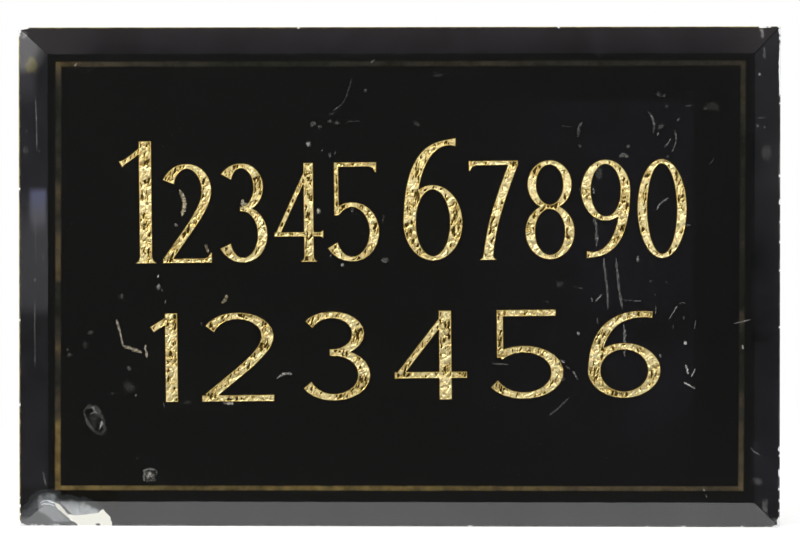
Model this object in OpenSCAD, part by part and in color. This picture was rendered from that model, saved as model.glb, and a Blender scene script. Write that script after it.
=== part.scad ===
// Wall sign: a bevelled plate of glass with gilded numerals and a gold line on its back,
// covered there with black enamel and bonded to a board that hangs on two keyhole plates.
// The wall is the plane y = 0, the face looks along -Y, and +Z is up.

/* [Glass plate] */
// Width of the glass plate
glass_w = 457.2; // [380:0.1:560]
// Height of the glass plate
glass_h = 300; // [250:0.5:380]
// Thickness of the glass inside its bevels
glass_t = 6.35; // [5:0.05:10]
// Thickness that the bevels leave at the rim
rim_t = 2.8; // [1.5:0.1:4]
// Width of the bevel along the left edge
bevel_left = 18; // [8:0.1:21]
// Width of the bevel along the right edge
bevel_right = 15.6; // [8:0.1:21]
// Width of the bevel along the top edge
bevel_top = 16.2; // [8:0.1:21]
// Width of the bevel along the bottom edge
bevel_bottom = 15; // [8:0.1:21]

/* [Upper row] */
// Depth that the numerals are etched into the back of the glass
etch_depth = 0.8; // [0.4:0.1:1.5]
// Height of the tall numeral that starts each group
initial_h = 74; // [60:0.5:85]
// Width of the tall numeral that starts the second group
initial_w = 36; // [26:0.5:42]
// Width of the tall numeral one that starts the first group
initial_one_w = 23; // [18:0.5:28]
// Height of the other upper numerals
upper_h = 60; // [45:0.5:70]
// Width of the other upper numerals
upper_w = 30; // [24:0.5:34]
// Gap between two upper numerals
upper_gap = 3.6; // [2:0.1:6]
// Gap between the two groups
group_gap = 14; // [8:0.5:25]
// Upright strokes of the tall numerals
initial_thick = 8; // [6:0.1:9]
// Upright strokes of the other upper numerals
upper_thick = 6.3; // [4:0.1:7.5]
// Level strokes of the upper numerals
upper_thin = 3.2; // [2:0.1:4]
// Distance that the serifs of the other upper numerals stand out from a stroke
upper_foot = 1.9; // [0.8:0.1:2.6]
// Distance that the serifs of the tall numerals stand out from a stroke
initial_foot = 2.4; // [0.8:0.1:3]
// Thickness of a slab serif at its end
slab_t = 1; // [0.5:0.1:1.6]
// Height of the upper baseline over the middle of the plate
upper_base = 9.4; // [4:0.1:20]
// Distance that the upper row sits to the right of the middle
upper_shift = 2.4; // [-10:0.1:10]

/* [Lower row] */
// Height of the lower numerals
lower_h = 54; // [40:0.5:65]
// Width of the lower numerals
lower_w = 44; // [32:0.5:50]
// Width of the lower numeral one
lower_one_w = 18; // [14:0.5:24]
// Gap between two lower numerals
lower_gap = 14; // [6:0.5:20]
// Upright strokes of the lower numerals
lower_thick = 8; // [5:0.1:10]
// Level strokes of the lower numerals
lower_thin = 4.4; // [3:0.1:7]
// Depth of the lower baseline under the middle of the plate
lower_base = 74.2; // [65:0.1:90]
// Distance that the lower row sits to the right of the middle
lower_shift = 3.6; // [-10:0.1:10]
// Angle that both rows climb to the right
row_tilt = 0.6; // [0:0.1:1.5]

/* [Gold line] */
// Distance from the edge of the glass to the middle of the gold line
line_inset = 22.8; // [18:0.1:30]
// Width of the gold line
line_w = 2.8; // [1.5:0.1:4]
// Thickness of the gold line
line_t = 0.2; // [0.1:0.05:0.3]

/* [Black enamel] */
// Thickness of the black enamel on the back of the glass
enamel_t = 0.4; // [0.35:0.05:1]
// Width of the bare glass where enamel is lost at the lower left corner
lost_w = 55.5; // [20:0.5:60]
// Height of the bare glass there
lost_h = 15.6; // [8:0.1:16]

/* [Board] */
// Distance that the glass stands out past the board on every side
board_margin = 24; // [18:0.5:40]
// Thickness of the board
board_t = 10; // [9:0.1:16]
// Bevel along the rear edges of the board
board_chamfer = 1.5; // [0.5:0.1:3]
// Thickness of the mastic between the enamel and the board
mastic_t = 1.2; // [0.6:0.1:2.5]
// Radius of a dab of mastic
mastic_r = 15; // [8:0.5:20]
// Dabs of mastic along the width
mastic_cols = 4; // [2:1:5]
// Rows of mastic dabs
mastic_rows = 2; // [2:1:3]
// Distance from the edge of the board to the middle of the outer dabs
mastic_inset = 40; // [25:1:60]

/* [Hangers] */
// Distance from the side of the board to the middle of a keyhole
hanger_inset = 54.6; // [20:0.1:90]
// Distance from the top of the board down to the entry of a keyhole
hanger_drop = 38; // [34:0.5:60]
// Length of a keyhole plate
plate_l = 45; // [45:0.5:50]
// Width of a keyhole plate
plate_w = 18; // [16:0.5:22]
// Thickness of a keyhole plate
plate_t = 1.6; // [1:0.1:2.2]
// Radius of the round entry of a keyhole
entry_r = 5; // [4:0.1:5.5]
// Radius of the slot that runs up from it
slot_r = 2.5; // [1.8:0.1:3]
// Distance from the middle of the entry to the top centre of the slot
slot_rise = 9; // [7:0.5:10]
// Room in front of the plate for the head of a wall screw
head_room = 5.5; // [3.5:0.1:6]
// Room beside the head of a wall screw
head_clearance = 0.6; // [0.3:0.1:1]
// Distance between the two wood screws of a plate
screw_pitch = 35; // [34:0.5:37]
// Radius of the shank of a wood screw
shank_r = 1.4; // [1:0.1:1.6]
// Radius of the head of a wood screw
screw_head_r = 2.8; // [2.4:0.1:3.2]
// Length of the shank under the head
shank_l = 6; // [4:0.1:7]
// Depth of the countersink and of the head
sink_depth = 1.4; // [0.8:0.1:1.6]
// Width of the driver slot in a screw head
driver_slot = 0.7; // [0.4:0.1:1]

/* [Hidden] */
UPPER = [1, 2, 3, 4, 5, 6, 7, 8, 9, 0];
LOWER = [1, 2, 3, 4, 5, 6];
$fn = 48;

// Planes of the stack, from the wall towards the face
mastic_y = -board_t;
enamel_y = mastic_y - mastic_t;
glass_y = enamel_y - enamel_t;
past = 1; // how far a cutting shape runs past what it cuts

// Board and keyholes, from the plate's size
board_w = glass_w - 2 * board_margin;
board_h = glass_h - 2 * board_margin;
hanger_x = board_w / 2 - hanger_inset;
hanger_z = board_h / 2 - hanger_drop;

GOLD = "#d8c27e";
ENAMEL = "#141416";

// Turns a drawing in x and y upright at depth y, and its height towards the face
module upright(y) {
    translate([0, y, 0]) rotate([90, 0, 0]) children();
}

// Points along a cubic curve with the end points a and d and the handles b and c
function curve(a, b, c, d, steps = 12) = [
    for (i = [0:steps]) let (t = i / steps, s = 1 - t)
        a * s * s * s + b * 3 * t * s * s + c * 3 * t * t * s + d * t * t * t
];

// Points along an arc of an oval from the angle a to the angle b
function bow(centre, rx, ry, a, b, steps = 16) = [
    for (i = [0:steps]) let (t = a + (b - a) * i / steps) centre + [rx * cos(t), ry * sin(t)]
];

function last(p) = p[len(p) - 1];

// Direction of a path at its point i
function heading(p, i) =
    let (q = p[min(i + 1, len(p) - 1)] - p[max(i - 1, 0)]) q / norm(q);

// Width of a stroke at the point i: thick where it runs upright, thin where it runs level,
// and flared out at its two ends
function stroke_width(p, i, thick, thin, flare_a, flare_b) =
    let (t = i / (len(p) - 1))
    thin + (thick - thin) * pow(abs(heading(p, i).y), 1.6)
        + flare_a * pow(1 - t, 12) + flare_b * pow(t, 12);

function stroke_side(p, i, side, thick, thin, flare_a, flare_b) =
    let (d = heading(p, i)) p[i] + side * [-d.y, d.x]
        * stroke_width(p, i, thick, thin, flare_a, flare_b) / 2;

module stroke(p, thick, thin, flare_a = 0, flare_b = 0) {
    polygon(concat(
        [for (i = [0:len(p) - 1]) stroke_side(p, i, -1, thick, thin, flare_a, flare_b)],
        [for (i = [len(p) - 1:-1:0]) stroke_side(p, i, 1, thick, thin, flare_a, flare_b)]
    ));
}

// Half outline of a straight stroke near one end, as [distance from the end, half width]:
// a slab serif that stands out by the foot, and a hollow bracket down to the stroke
function serif(half, foot) = foot == 0 ? [[0, half]] : concat(
    [[0, half + foot]],
    [for (a = [0:18:90]) [slab_t + foot * 1.6 * (1 - cos(a)), half + foot * (1 - sin(a))]]
);

function reversed(p) = [for (i = [len(p) - 1:-1:0]) p[i]];

// A straight stroke of the width w from a to b, with a serif at each end that has a foot
module bar(a, b, w, foot_a = 0, foot_b = 0) {
    length = norm(b - a);
    along = (b - a) / length;
    across = [-along.y, along.x];
    side = concat(
        serif(w / 2, foot_a),
        [for (q = reversed(serif(w / 2, foot_b))) [length - q.x, q.y]]
    );
    polygon(concat(
        [for (q = side) a + along * q.x - across * q.y],
        [for (q = reversed(side)) a + along * q.x + across * q.y]
    ));
}

// A level stroke along the edge y, which is x_a to x_b wide and ends at x_b in a spur towards up
module spurred(x_a, x_b, y, up, w, spur) {
    way = sign(x_b - x_a);
    outline = [[x_a, y], [x_b, y], [x_b, y + up * (w + spur)],
        [x_b - way * spur * 0.35, y + up * (w + spur)],
        [x_b - way * spur * 0.75, y + up * (w + spur * 0.25)],
        [x_b - way * spur * 1.4, y + up * w], [x_a, y + up * w]];
    polygon(way * up > 0 ? outline : reversed(outline));
}

// A closed oval, thick at its sides and thin at its top and bottom
module oval(centre, rx, ry, thick, thin) {
    difference() {
        polygon(bow(centre, rx, ry, 0, 352.5, 47));
        polygon(bow(centre, rx - thick, ry - thin, 0, 352.5, 47));
    }
}

// The ten numerals, each in a box from [0, 0] to [w, h], with serifs that stand out by the foot
module zero(w, h, thick, thin) {
    oval([w / 2, h / 2], w / 2, h / 2, thick, thin);
}

module one(w, h, thick, thin, foot) {
    stem = w - foot - thick / 2;
    bar([stem, 0], [stem, h], thick, foot, 0);
    stroke(curve([thin / 2, h * 0.81], [w * 0.2, h * 0.83], [stem - thick / 2, h * 0.9],
        [stem, h - thin * 0.7], 8), thin, thin, foot, 0);
}

module two(w, h, thick, thin, foot) {
    top = bow([w / 2, h * 0.73], (w - thick) / 2, h * 0.27 - thin / 2, 160, -8, 14);
    stroke(concat(top, curve(last(top), last(top) - [w * 0.04, h * 0.18],
        [w * 0.42, h * 0.28], [thin * 0.9, thin * 0.6], 10)), thick, thin, foot, 0);
    if (foot > 0) spurred(0, w, 0, 1, thin, foot * 1.8);
    else bar([0, thin / 2], [w, thin / 2], thin);
}

module three(w, h, thick, thin, foot) {
    waist = h * 0.54;
    upper_ry = (h - waist) / 2 - thin / 4;
    lower_ry = waist / 2 - thin / 4;
    stroke(bow([w * 0.47, h - thin / 2 - upper_ry], (w * 0.9 - thick) / 2, upper_ry,
        152, -96, 18), thick, thin, foot, 0);
    stroke(bow([w / 2, thin / 2 + lower_ry], (w - thick) / 2, lower_ry,
        96, -155, 18), thick, thin, 0, foot);
}

module four(w, h, thick, thin, foot) {
    stem = w * 0.7;
    level = h * 0.28;
    bar([stem, 0], [stem, h], thick, foot, 0);
    bar([stem + thin * 0.2, h - thin / 2], [thin * 0.7, level], thin);
    bar([0, level], [w, level], thin, 0, foot / 2);
}

module five(w, h, thick, thin, foot) {
    side = thin * 1.3;
    if (foot > 0) spurred(side - thin / 2, w * 0.95, h, -1, thin, foot * 1.8);
    else bar([side - thin / 2, h - thin / 2], [w * 0.9, h - thin / 2], thin);
    bar([side, h - thin / 2], [side, h * 0.46], thin);
    stroke(bow([w / 2 - thin / 2, h * 0.3], (w - thick + thin) / 2, h * 0.3 - thin / 2,
        136, -152, 20), thick, thin, 0, foot);
}

module six(w, h, thick, thin, foot) {
    oval([w / 2, h * 0.31], w / 2, h * 0.31, thick, thin);
    stroke(curve([thick * 0.51, h * 0.29], [thick * 0.52, h * 0.78], [w * 0.42, h * 0.98],
        [w * 0.9, h - thin * 0.9], 14), thick, thin, 0, foot);
}

module seven(w, h, thick, thin, foot) {
    if (foot > 0) spurred(w, 0, h, -1, thin, foot * 1.8);
    else bar([0, h - thin / 2], [w, h - thin / 2], thin);
    stroke(curve([w - thick * 0.45, h - thin * 0.6], [w * 0.62, h * 0.6], [w * 0.44, h * 0.35],
        [w * 0.38, thin / 2], 12), thick, thin, 0, 0);
    if (foot > 0) bar([w * 0.38, 0], [w * 0.38, slab_t + foot * 2], thick, foot, 0);
}

module eight(w, h, thick, thin) {
    waist = h * 0.53;
    oval([w / 2, (h + waist - thin / 2) / 2], w * 0.45, (h - waist + thin / 2) / 2,
        thick * 0.9, thin);
    oval([w / 2, (waist + thin / 2) / 2], w / 2, (waist + thin / 2) / 2, thick, thin);
}

module nine(w, h, thick, thin, foot) {
    translate([w, h]) rotate(180) six(w, h, thick, thin, foot);
}

module numeral(digit, w, h, thick, thin, foot) {
    if (digit == 0) zero(w, h, thick, thin);
    if (digit == 1) one(w, h, thick, thin, foot);
    if (digit == 2) two(w, h, thick, thin, foot);
    if (digit == 3) three(w, h, thick, thin, foot);
    if (digit == 4) four(w, h, thick, thin, foot);
    if (digit == 5) five(w, h, thick, thin, foot);
    if (digit == 6) six(w, h, thick, thin, foot);
    if (digit == 7) seven(w, h, thick, thin, foot);
    if (digit == 8) eight(w, h, thick, thin);
    if (digit == 9) nine(w, h, thick, thin, foot);
}

// Sizes and places of the upper numerals, counted from the left
function starts_group(i) = i == 0 || i == 5;
function upper_width(i) = i == 0 ? initial_one_w : i == 5 ? initial_w : upper_w;
function upper_height(i) = starts_group(i) ? initial_h : upper_h;
function upper_stroke(i) = starts_group(i) ? initial_thick : upper_thick;
function upper_serif(i) = starts_group(i) ? initial_foot : upper_foot;
function upper_x(i) = i == 0 ? 0
    : upper_x(i - 1) + upper_width(i - 1) + (i == 5 ? group_gap : upper_gap);
upper_row_w = upper_x(9) + upper_width(9);

// Sizes and places of the lower numerals
function lower_width(i) = i == 0 ? lower_one_w : lower_w;
function lower_x(i) = i == 0 ? 0 : lower_x(i - 1) + lower_width(i - 1) + lower_gap;
lower_row_w = lower_x(5) + lower_width(5);

module upper_outline(i) {
    translate([upper_shift, upper_base]) rotate(row_tilt)
        translate([upper_x(i) - upper_row_w / 2, 0])
            numeral(UPPER[i], upper_width(i), upper_height(i), upper_stroke(i), upper_thin, upper_serif(i));
}

module lower_outline(i) {
    translate([lower_shift, -lower_base]) rotate(row_tilt)
        translate([lower_x(i) - lower_row_w / 2, 0])
            numeral(LOWER[i], lower_width(i), lower_h, lower_thick, lower_thin, 0);
}

module upper_numeral(i) {
    color(GOLD) upright(glass_y) linear_extrude(etch_depth) upper_outline(i);
}

module lower_numeral(i) {
    color(GOLD) upright(glass_y) linear_extrude(etch_depth) lower_outline(i);
}

// Section through the plate: a flat back at 0 and a bevel at each end
function bevelled(size, low_bevel, high_bevel) = [
    [-size / 2, 0], [size / 2, 0], [size / 2, rim_t], [size / 2 - high_bevel, glass_t],
    [-size / 2 + low_bevel, glass_t], [-size / 2, rim_t]
];

module bevelled_plate() {
    intersection() {
        rotate([90, 0, 0]) linear_extrude(glass_h + 2 * past, center = true)
            polygon(bevelled(glass_w, bevel_left, bevel_right));
        rotate([90, 0, 90]) linear_extrude(glass_w + 2 * past, center = true)
            polygon(bevelled(glass_h, bevel_bottom, bevel_top));
    }
}

module glass_plate() {
    color("#9fb8ae", 0.5) difference() {
        upright(glass_y) bevelled_plate();
        for (i = [0:len(UPPER) - 1])
            upright(glass_y + past) linear_extrude(etch_depth + past) upper_outline(i);
        for (i = [0:len(LOWER) - 1])
            upright(glass_y + past) linear_extrude(etch_depth + past) lower_outline(i);
    }
}

// Outer and inner half sizes of the rectangle that the gold line runs round
line_out = [glass_w / 2 - line_inset + line_w / 2, glass_h / 2 - line_inset + line_w / 2];
line_in = line_out - [line_w, line_w];

// One side of the gold line, mitred at both ends
module gold_side(points) {
    color(GOLD) upright(glass_y + line_t) linear_extrude(line_t) polygon(points);
}

module gold_line_level(side) {
    gold_side([[-line_out.x, side * line_out.y], [line_out.x, side * line_out.y],
        [line_in.x, side * line_in.y], [-line_in.x, side * line_in.y]]);
}

module gold_line_upright(side) {
    gold_side([[side * line_out.x, -line_out.y], [side * line_out.x, line_out.y],
        [side * line_in.x, line_in.y], [side * line_in.x, -line_in.y]]);
}

// Ragged outline of the bare glass at the lower left corner, as shares of its width and height
// from the corner up the left edge, over the top and back down to the lower edge
LOST_SHARES = [
    [0, 0.42], [0.1, 0.6], [0.18, 0.9], [0.27, 1], [0.4, 0.96], [0.6, 1], [0.75, 0.94],
    [0.83, 0.6], [0.91, 0.68], [0.97, 0.42], [1, 0.15]
];

module lost_enamel() {
    translate([-glass_w / 2, -glass_h / 2]) polygon(concat(
        [[lost_w, -past]],
        [for (q = reversed(LOST_SHARES)) [q.x * lost_w, q.y * lost_h]],
        [[-past, LOST_SHARES[0].y * lost_h], [-past, -past]]
    ));
}

module black_enamel() {
    color(ENAMEL) upright(enamel_y) difference() {
        linear_extrude(enamel_t) square([glass_w, glass_h], center = true);
        translate([0, 0, enamel_t - line_t]) linear_extrude(line_t + past) difference() {
            square(2 * line_out, center = true);
            square(2 * line_in, center = true);
        }
        translate([0, 0, -past]) linear_extrude(enamel_t + 2 * past) lost_enamel();
    }
}

// Place of dab i out of a row of dabs across a size of the board
function dab_place(i, count, size) = (i / (count - 1) - 0.5) * (size - 2 * mastic_inset);

module mastic_dabs() {
    color("#6b6358") for (col = [0:mastic_cols - 1], row = [0:mastic_rows - 1])
        upright(mastic_y)
            translate([dab_place(col, mastic_cols, board_w), dab_place(row, mastic_rows, board_h), 0])
                cylinder(h = mastic_t, r = mastic_r);
}

// Moves a shape drawn at a keyhole's entry to the left hanger or the right one
module at_hanger(side) {
    translate([side * hanger_x, 0, hanger_z]) children();
}

// Middle of a keyhole plate over its entry
plate_rise = slot_rise / 2;

module plate_outline(w, l) {
    for (end = [-1, 1]) translate([0, plate_rise + end * (l - w) / 2]) circle(r = w / 2);
    translate([0, plate_rise]) square([w, l - w], center = true);
}

// A round entry with a slot that runs up from it
module keyhole(round_r, upper_r) {
    circle(r = round_r);
    translate([0, slot_rise]) circle(r = upper_r);
    translate([-upper_r, 0]) square([2 * upper_r, slot_rise]);
}

module at_screws() {
    for (end = [-1, 1]) translate([0, plate_rise + end * screw_pitch / 2, 0]) children();
}

// Cone under a wood screw's head, with its wide end at height 0 and the shank below it
module sink_cone() {
    translate([0, 0, -past]) cylinder(h = past, r = screw_head_r);
    cylinder(h = sink_depth, r1 = screw_head_r, r2 = shank_r);
}

module keyhole_plate(side) {
    color("#b08d46") at_hanger(side) upright(0) difference() {
        linear_extrude(plate_t) plate_outline(plate_w, plate_l);
        translate([0, 0, -past]) linear_extrude(plate_t + 2 * past) keyhole(entry_r, slot_r);
        at_screws() {
            sink_cone();
            cylinder(h = plate_t + past, r = shank_r);
        }
    }
}

module hanger_screws() {
    color("#c2a460") for (side = [-1, 1]) at_hanger(side) upright(0) at_screws() difference() {
        union() {
            cylinder(h = sink_depth, r1 = screw_head_r, r2 = shank_r);
            translate([0, 0, sink_depth]) cylinder(h = shank_l, r = shank_r);
        }
        translate([0, 0, -past + driver_slot / 2])
            cube([3 * screw_head_r, driver_slot, 2 * past], center = true);
    }
}

// The board's section grows from its rear face by the bevel
module board_body() {
    half = [board_w / 2, board_h / 2];
    intersection() {
        rotate([90, 0, 0]) linear_extrude(board_h, center = true) polygon([
            [-half.x + board_chamfer, 0], [half.x - board_chamfer, 0], [half.x, board_chamfer],
            [half.x, board_t], [-half.x, board_t], [-half.x, board_chamfer]
        ]);
        rotate([90, 0, 90]) linear_extrude(board_w, center = true) polygon([
            [-half.y + board_chamfer, 0], [half.y - board_chamfer, 0], [half.y, board_chamfer],
            [half.y, board_t], [-half.y, board_t], [-half.y, board_chamfer]
        ]);
    }
}

module backing_board() {
    head_space = entry_r + head_clearance;
    color("#b99566") difference() {
        upright(0) board_body();
        for (side = [-1, 1]) at_hanger(side) upright(past) {
            linear_extrude(plate_t + past) plate_outline(plate_w, plate_l);
            linear_extrude(plate_t + head_room + past) keyhole(head_space, head_space);
            at_screws() cylinder(h = sink_depth + shank_l + past, r = shank_r);
        }
        for (side = [-1, 1]) at_hanger(side) upright(0) {
            at_screws() sink_cone();
        }
    }
}

glass_plate();
for (i = [0:len(UPPER) - 1])
    upper_numeral(i);
for (i = [0:len(LOWER) - 1])
    lower_numeral(i);
gold_line_level(1);  // gold_line_top
gold_line_level(-1);  // gold_line_bottom
gold_line_upright(-1);  // gold_line_left
gold_line_upright(1);  // gold_line_right
black_enamel();
mastic_dabs();
backing_board();
keyhole_plate(-1);  // keyhole_plate_left
keyhole_plate(1);  // keyhole_plate_right
hanger_screws();
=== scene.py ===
"""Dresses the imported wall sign: gilded relief numerals and a gold line behind bevelled plate glass,
scratched black enamel, a worn corner, a chipped rim, and a plywood board with brass hangers."""

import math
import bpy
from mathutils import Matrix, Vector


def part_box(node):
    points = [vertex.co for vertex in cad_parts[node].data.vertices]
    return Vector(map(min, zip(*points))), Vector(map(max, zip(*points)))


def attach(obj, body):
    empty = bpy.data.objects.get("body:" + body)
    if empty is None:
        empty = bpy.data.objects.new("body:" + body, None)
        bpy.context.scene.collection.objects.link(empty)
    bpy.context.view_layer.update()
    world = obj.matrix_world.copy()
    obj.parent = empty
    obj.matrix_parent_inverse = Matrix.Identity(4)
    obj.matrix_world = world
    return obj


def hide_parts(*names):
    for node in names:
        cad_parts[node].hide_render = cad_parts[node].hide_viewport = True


bl_info = {
    "name": "Gilded Glass Wall Sign",
    "version": (1, 0, 0),
    "blender": (4, 5, 0),
    "location": "3D View > Sidebar > Wall Sign",
    "description": "Dresses a bevelled glass wall sign with gilded numerals, worn enamel and a hung board",
    "category": "Object",
}

import bmesh
import bpy
import numpy as np
from mathutils import Vector

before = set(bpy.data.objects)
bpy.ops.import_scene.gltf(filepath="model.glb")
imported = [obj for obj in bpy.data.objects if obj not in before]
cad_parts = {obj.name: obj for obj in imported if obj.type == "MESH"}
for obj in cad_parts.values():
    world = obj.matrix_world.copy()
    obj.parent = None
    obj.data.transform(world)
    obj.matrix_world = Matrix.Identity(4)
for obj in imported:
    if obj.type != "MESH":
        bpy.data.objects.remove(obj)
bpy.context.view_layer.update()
MM = 0.001  # a millimetre in metres, which are the unit of the frame
UPPER = [f"upper_numeral_{digit}" for digit in (1, 2, 3, 4, 5, 6, 7, 8, 9, 0)]
LOWER = [f"lower_numeral_{digit}" for digit in (1, 2, 3, 4, 5, 6)]
CONTACT = 0.02  # mm by which a coat on the back of the glass reaches into it, as wet paint bonds to it
CLEARANCE = 0.03  # mm between the leaf of a numeral and the walls of its pocket
SAME = 0.01  # mm within which two places count as one


def node_box(name):
    """Lowest and highest corner of a node in mm."""
    low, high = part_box(name)
    return np.array(low) / MM, np.array(high) / MM


def node_points(name):
    """The points of a node's own mesh, in mm."""
    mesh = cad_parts[name].data
    points = np.empty(len(mesh.vertices) * 3, np.float32)
    mesh.vertices.foreach_get("co", points)
    return points.reshape(-1, 3).astype(float) / MM


GLASS_LOW, GLASS_HIGH = node_box("glass_plate")
GLASS_BACK = GLASS_HIGH[1]
POCKET_FLOOR = node_box(UPPER[0])[0][1]
ENAMEL_BACK = node_box("black_enamel")[1][1]


def bevel_ends():
    """Lowest and highest corner, in x and z, of the flat front inside the bevels, and the depth at
    which the bevels meet the rim, all in mm."""
    points = node_points("glass_plate")
    flat = points[points[:, 1] < GLASS_LOW[1] + SAME][:, [0, 2]]
    left_rim = points[points[:, 0] < GLASS_LOW[0] + SAME]
    return flat.min(0), flat.max(0), left_rim[:, 1].min()


def linear(hex_colour):
    """An sRGB hex colour as linear red, green and blue."""
    shares = [int(hex_colour[i:i + 2], 16) / 255 for i in (1, 3, 5)]
    return [c / 12.92 if c <= 0.04045 else ((c + 0.055) / 1.055) ** 2.4 for c in shares]


def rgba(hex_colour):
    """An sRGB hex colour as linear red, green, blue and full cover."""
    return (*linear(hex_colour), 1)


def colour_property(name, description, hex_colour):
    """A colour that a user may change."""
    return bpy.props.FloatVectorProperty(
        name=name, description=description, subtype="COLOR", size=3, min=0, max=1,
        default=linear(hex_colour))


def length_property(name, description, millimetres):
    """A length that a user may change, given in mm."""
    return bpy.props.FloatProperty(
        name=name, description=description, subtype="DISTANCE", unit="LENGTH", min=0,
        default=millimetres * MM)


def angle_property(name, description, degrees):
    """An angle that a user may change, given in degrees."""
    return bpy.props.FloatProperty(
        name=name, description=description, subtype="ANGLE", unit="ROTATION",
        default=math.radians(degrees))


class GildingSettings(bpy.types.PropertyGroup):
    """Sizes and colours of the gilded numerals and the gold line"""
    cell: length_property("Cell", "Spacing of the grid that the relief is worked out on", 0.24)
    slope: length_property("Edge slope", "Width of the sloping edge round each numeral", 0.85)
    drop: length_property("Edge drop", "Depth of that slope", 0.32)
    rim: length_property("Smooth rim", "Width of the smooth band inside the edge", 0.5)
    wrinkle: length_property("Wrinkle spacing", "Distance between the wrinkles of the leaf", 1.55)
    wrinkle_length: length_property("Wrinkle length", "Length of a wrinkle", 3.5)
    height: length_property("Wrinkle height", "Height of the wrinkles", 0.42)
    lean: angle_property("Lean", "Direction of the main wrinkles, up from level", 78)
    leaf: colour_property("Leaf", "Colour of clean gold leaf", "#F7E6B2")
    # the tarnish colour is painted shade: the brown painted into the leaf's creases, hollows, flecks and
    # sloping edges
    tarnish: colour_property("Tarnish", "Colour of the leaf deep in its creases", "#65501F")
    worn_leaf: colour_property("Line", "Colour of the burnished gold line", "#C8A66B")
    # the rubbed line colour is both rubbed leaf and painted shade on the gold line
    rubbed_and_shaded_leaf: colour_property("Rubbed line", "Colour of the line where it is rubbed thin", "#262521")


class EnamelSettings(bpy.types.PropertyGroup):
    """Colours of the enamel, its marks and its worn corner"""
    black: colour_property("Black", "Colour of the enamel seen through the glass", "#0F0E0E")
    haze: colour_property("Haze", "Colour of the faint bloom on the enamel", "#151317")
    back: colour_property("Back", "Colour of the brushed back of the enamel", "#1A1A1B")
    mark: colour_property("Marks", "Colour of scratches in the enamel", "#8F8C8A")
    residue: colour_property("Residue", "Colour of the film left on the bare corner", "#F8F8FF")
    size: colour_property("Size", "Colour of the clear old size on the bare corner", "#F1EEE4")


class GlassSettings(bpy.types.PropertyGroup):
    """Size and colours of the glass and its ground edge"""
    arris: length_property("Arris", "Width of the ground edge along the rim", 0.8)
    tint: colour_property("Tint", "Colour that thick glass takes", "#9CCBB4")
    ground: colour_property("Ground edge", "Colour of the ground edge and its chips", "#D2D4D0")
    # the stained edge colour is the yellow of the painted highlight on the top and left rims
    stain: colour_property("Stained edge", "Colour of old polish in the ground edge", "#A89A5A")


class BoardSettings(bpy.types.PropertyGroup):
    """Colours of the board, the keyhole plates, the screws and the mastic"""
    face_ply: colour_property("Face ply", "Colour of the face veneer", "#CFB389")
    dark_ply: colour_property("Dark ply", "Colour of the darker grain", "#A98559")
    brass: colour_property("Brass", "Colour of the keyhole plates", "#C9A255")
    plate_tarnish: colour_property("Plate tarnish", "Colour of the tarnish on the plates", "#94743A")
    screw: colour_property("Screws", "Colour of the screws", "#9C7C40")
    screw_tarnish: colour_property("Screw tarnish", "Colour of the tarnish on the screws", "#57442A")
    mastic: colour_property("Mastic", "Colour of the mastic", "#5D564B")


class StageSettings(bpy.types.PropertyGroup):
    """Colour of the floor, and the place and lens of the camera"""
    floor: colour_property("Floor", "Colour of the floor", "#F4F4F2")
    distance: length_property("Distance", "Distance from the camera to the sign", 1600)
    azimuth: angle_property("Azimuth", "How far the camera stands to the right", 1.18)
    elevation: angle_property("Elevation", "How far the camera stands up", 0.73)
    lens: bpy.props.FloatProperty(
        name="Lens", description="Focal length", unit="CAMERA", default=119.9)


def add(tree, kind, inputs=None, stops=None, **settings):
    """Adds a node. inputs gives sockets a value or a link, and stops the colours of a ramp."""
    made = tree.nodes.new(kind)
    for name, value in settings.items():
        setattr(made, name, value)
    for key, value in (inputs or {}).items():
        if isinstance(value, bpy.types.NodeSocket):
            tree.links.new(value, made.inputs[key])
        else:
            made.inputs[key].default_value = value
    for i, (place, colour) in enumerate(stops or []):
        ramp = made.color_ramp.elements
        element = ramp[i] if i < 2 else ramp.new(place)
        element.position, element.color = place, colour
    return made


def material(name):
    """An empty node material and its tree."""
    made = bpy.data.materials.new(name)
    made.use_nodes = True
    made.node_tree.nodes.clear()
    return made, made.node_tree


def within(tree, *spans):
    """The share that spans have in common, as a socket. A span is a value, the value at which its
    share is 0 and the value at which it is 1."""
    common = 1
    for value, none, whole in spans:
        share = add(tree, "ShaderNodeMapRange", {"Value": value, "From Min": none, "From Max": whole})
        both = add(tree, "ShaderNodeMath", {0: common, 1: share.outputs[0]}, operation="MULTIPLY")
        common = both.outputs[0]
    return common


def layered(tree, ground, *coats):
    """A colour built up in coats, as a socket. A coat is a colour and the spans that it keeps to."""
    for colour, *spans in coats:
        share = within(tree, *spans)
        ground = add(tree, "ShaderNodeMix", {0: share, 6: ground, 7: colour}, data_type="RGBA").outputs[2]
    return ground


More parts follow.
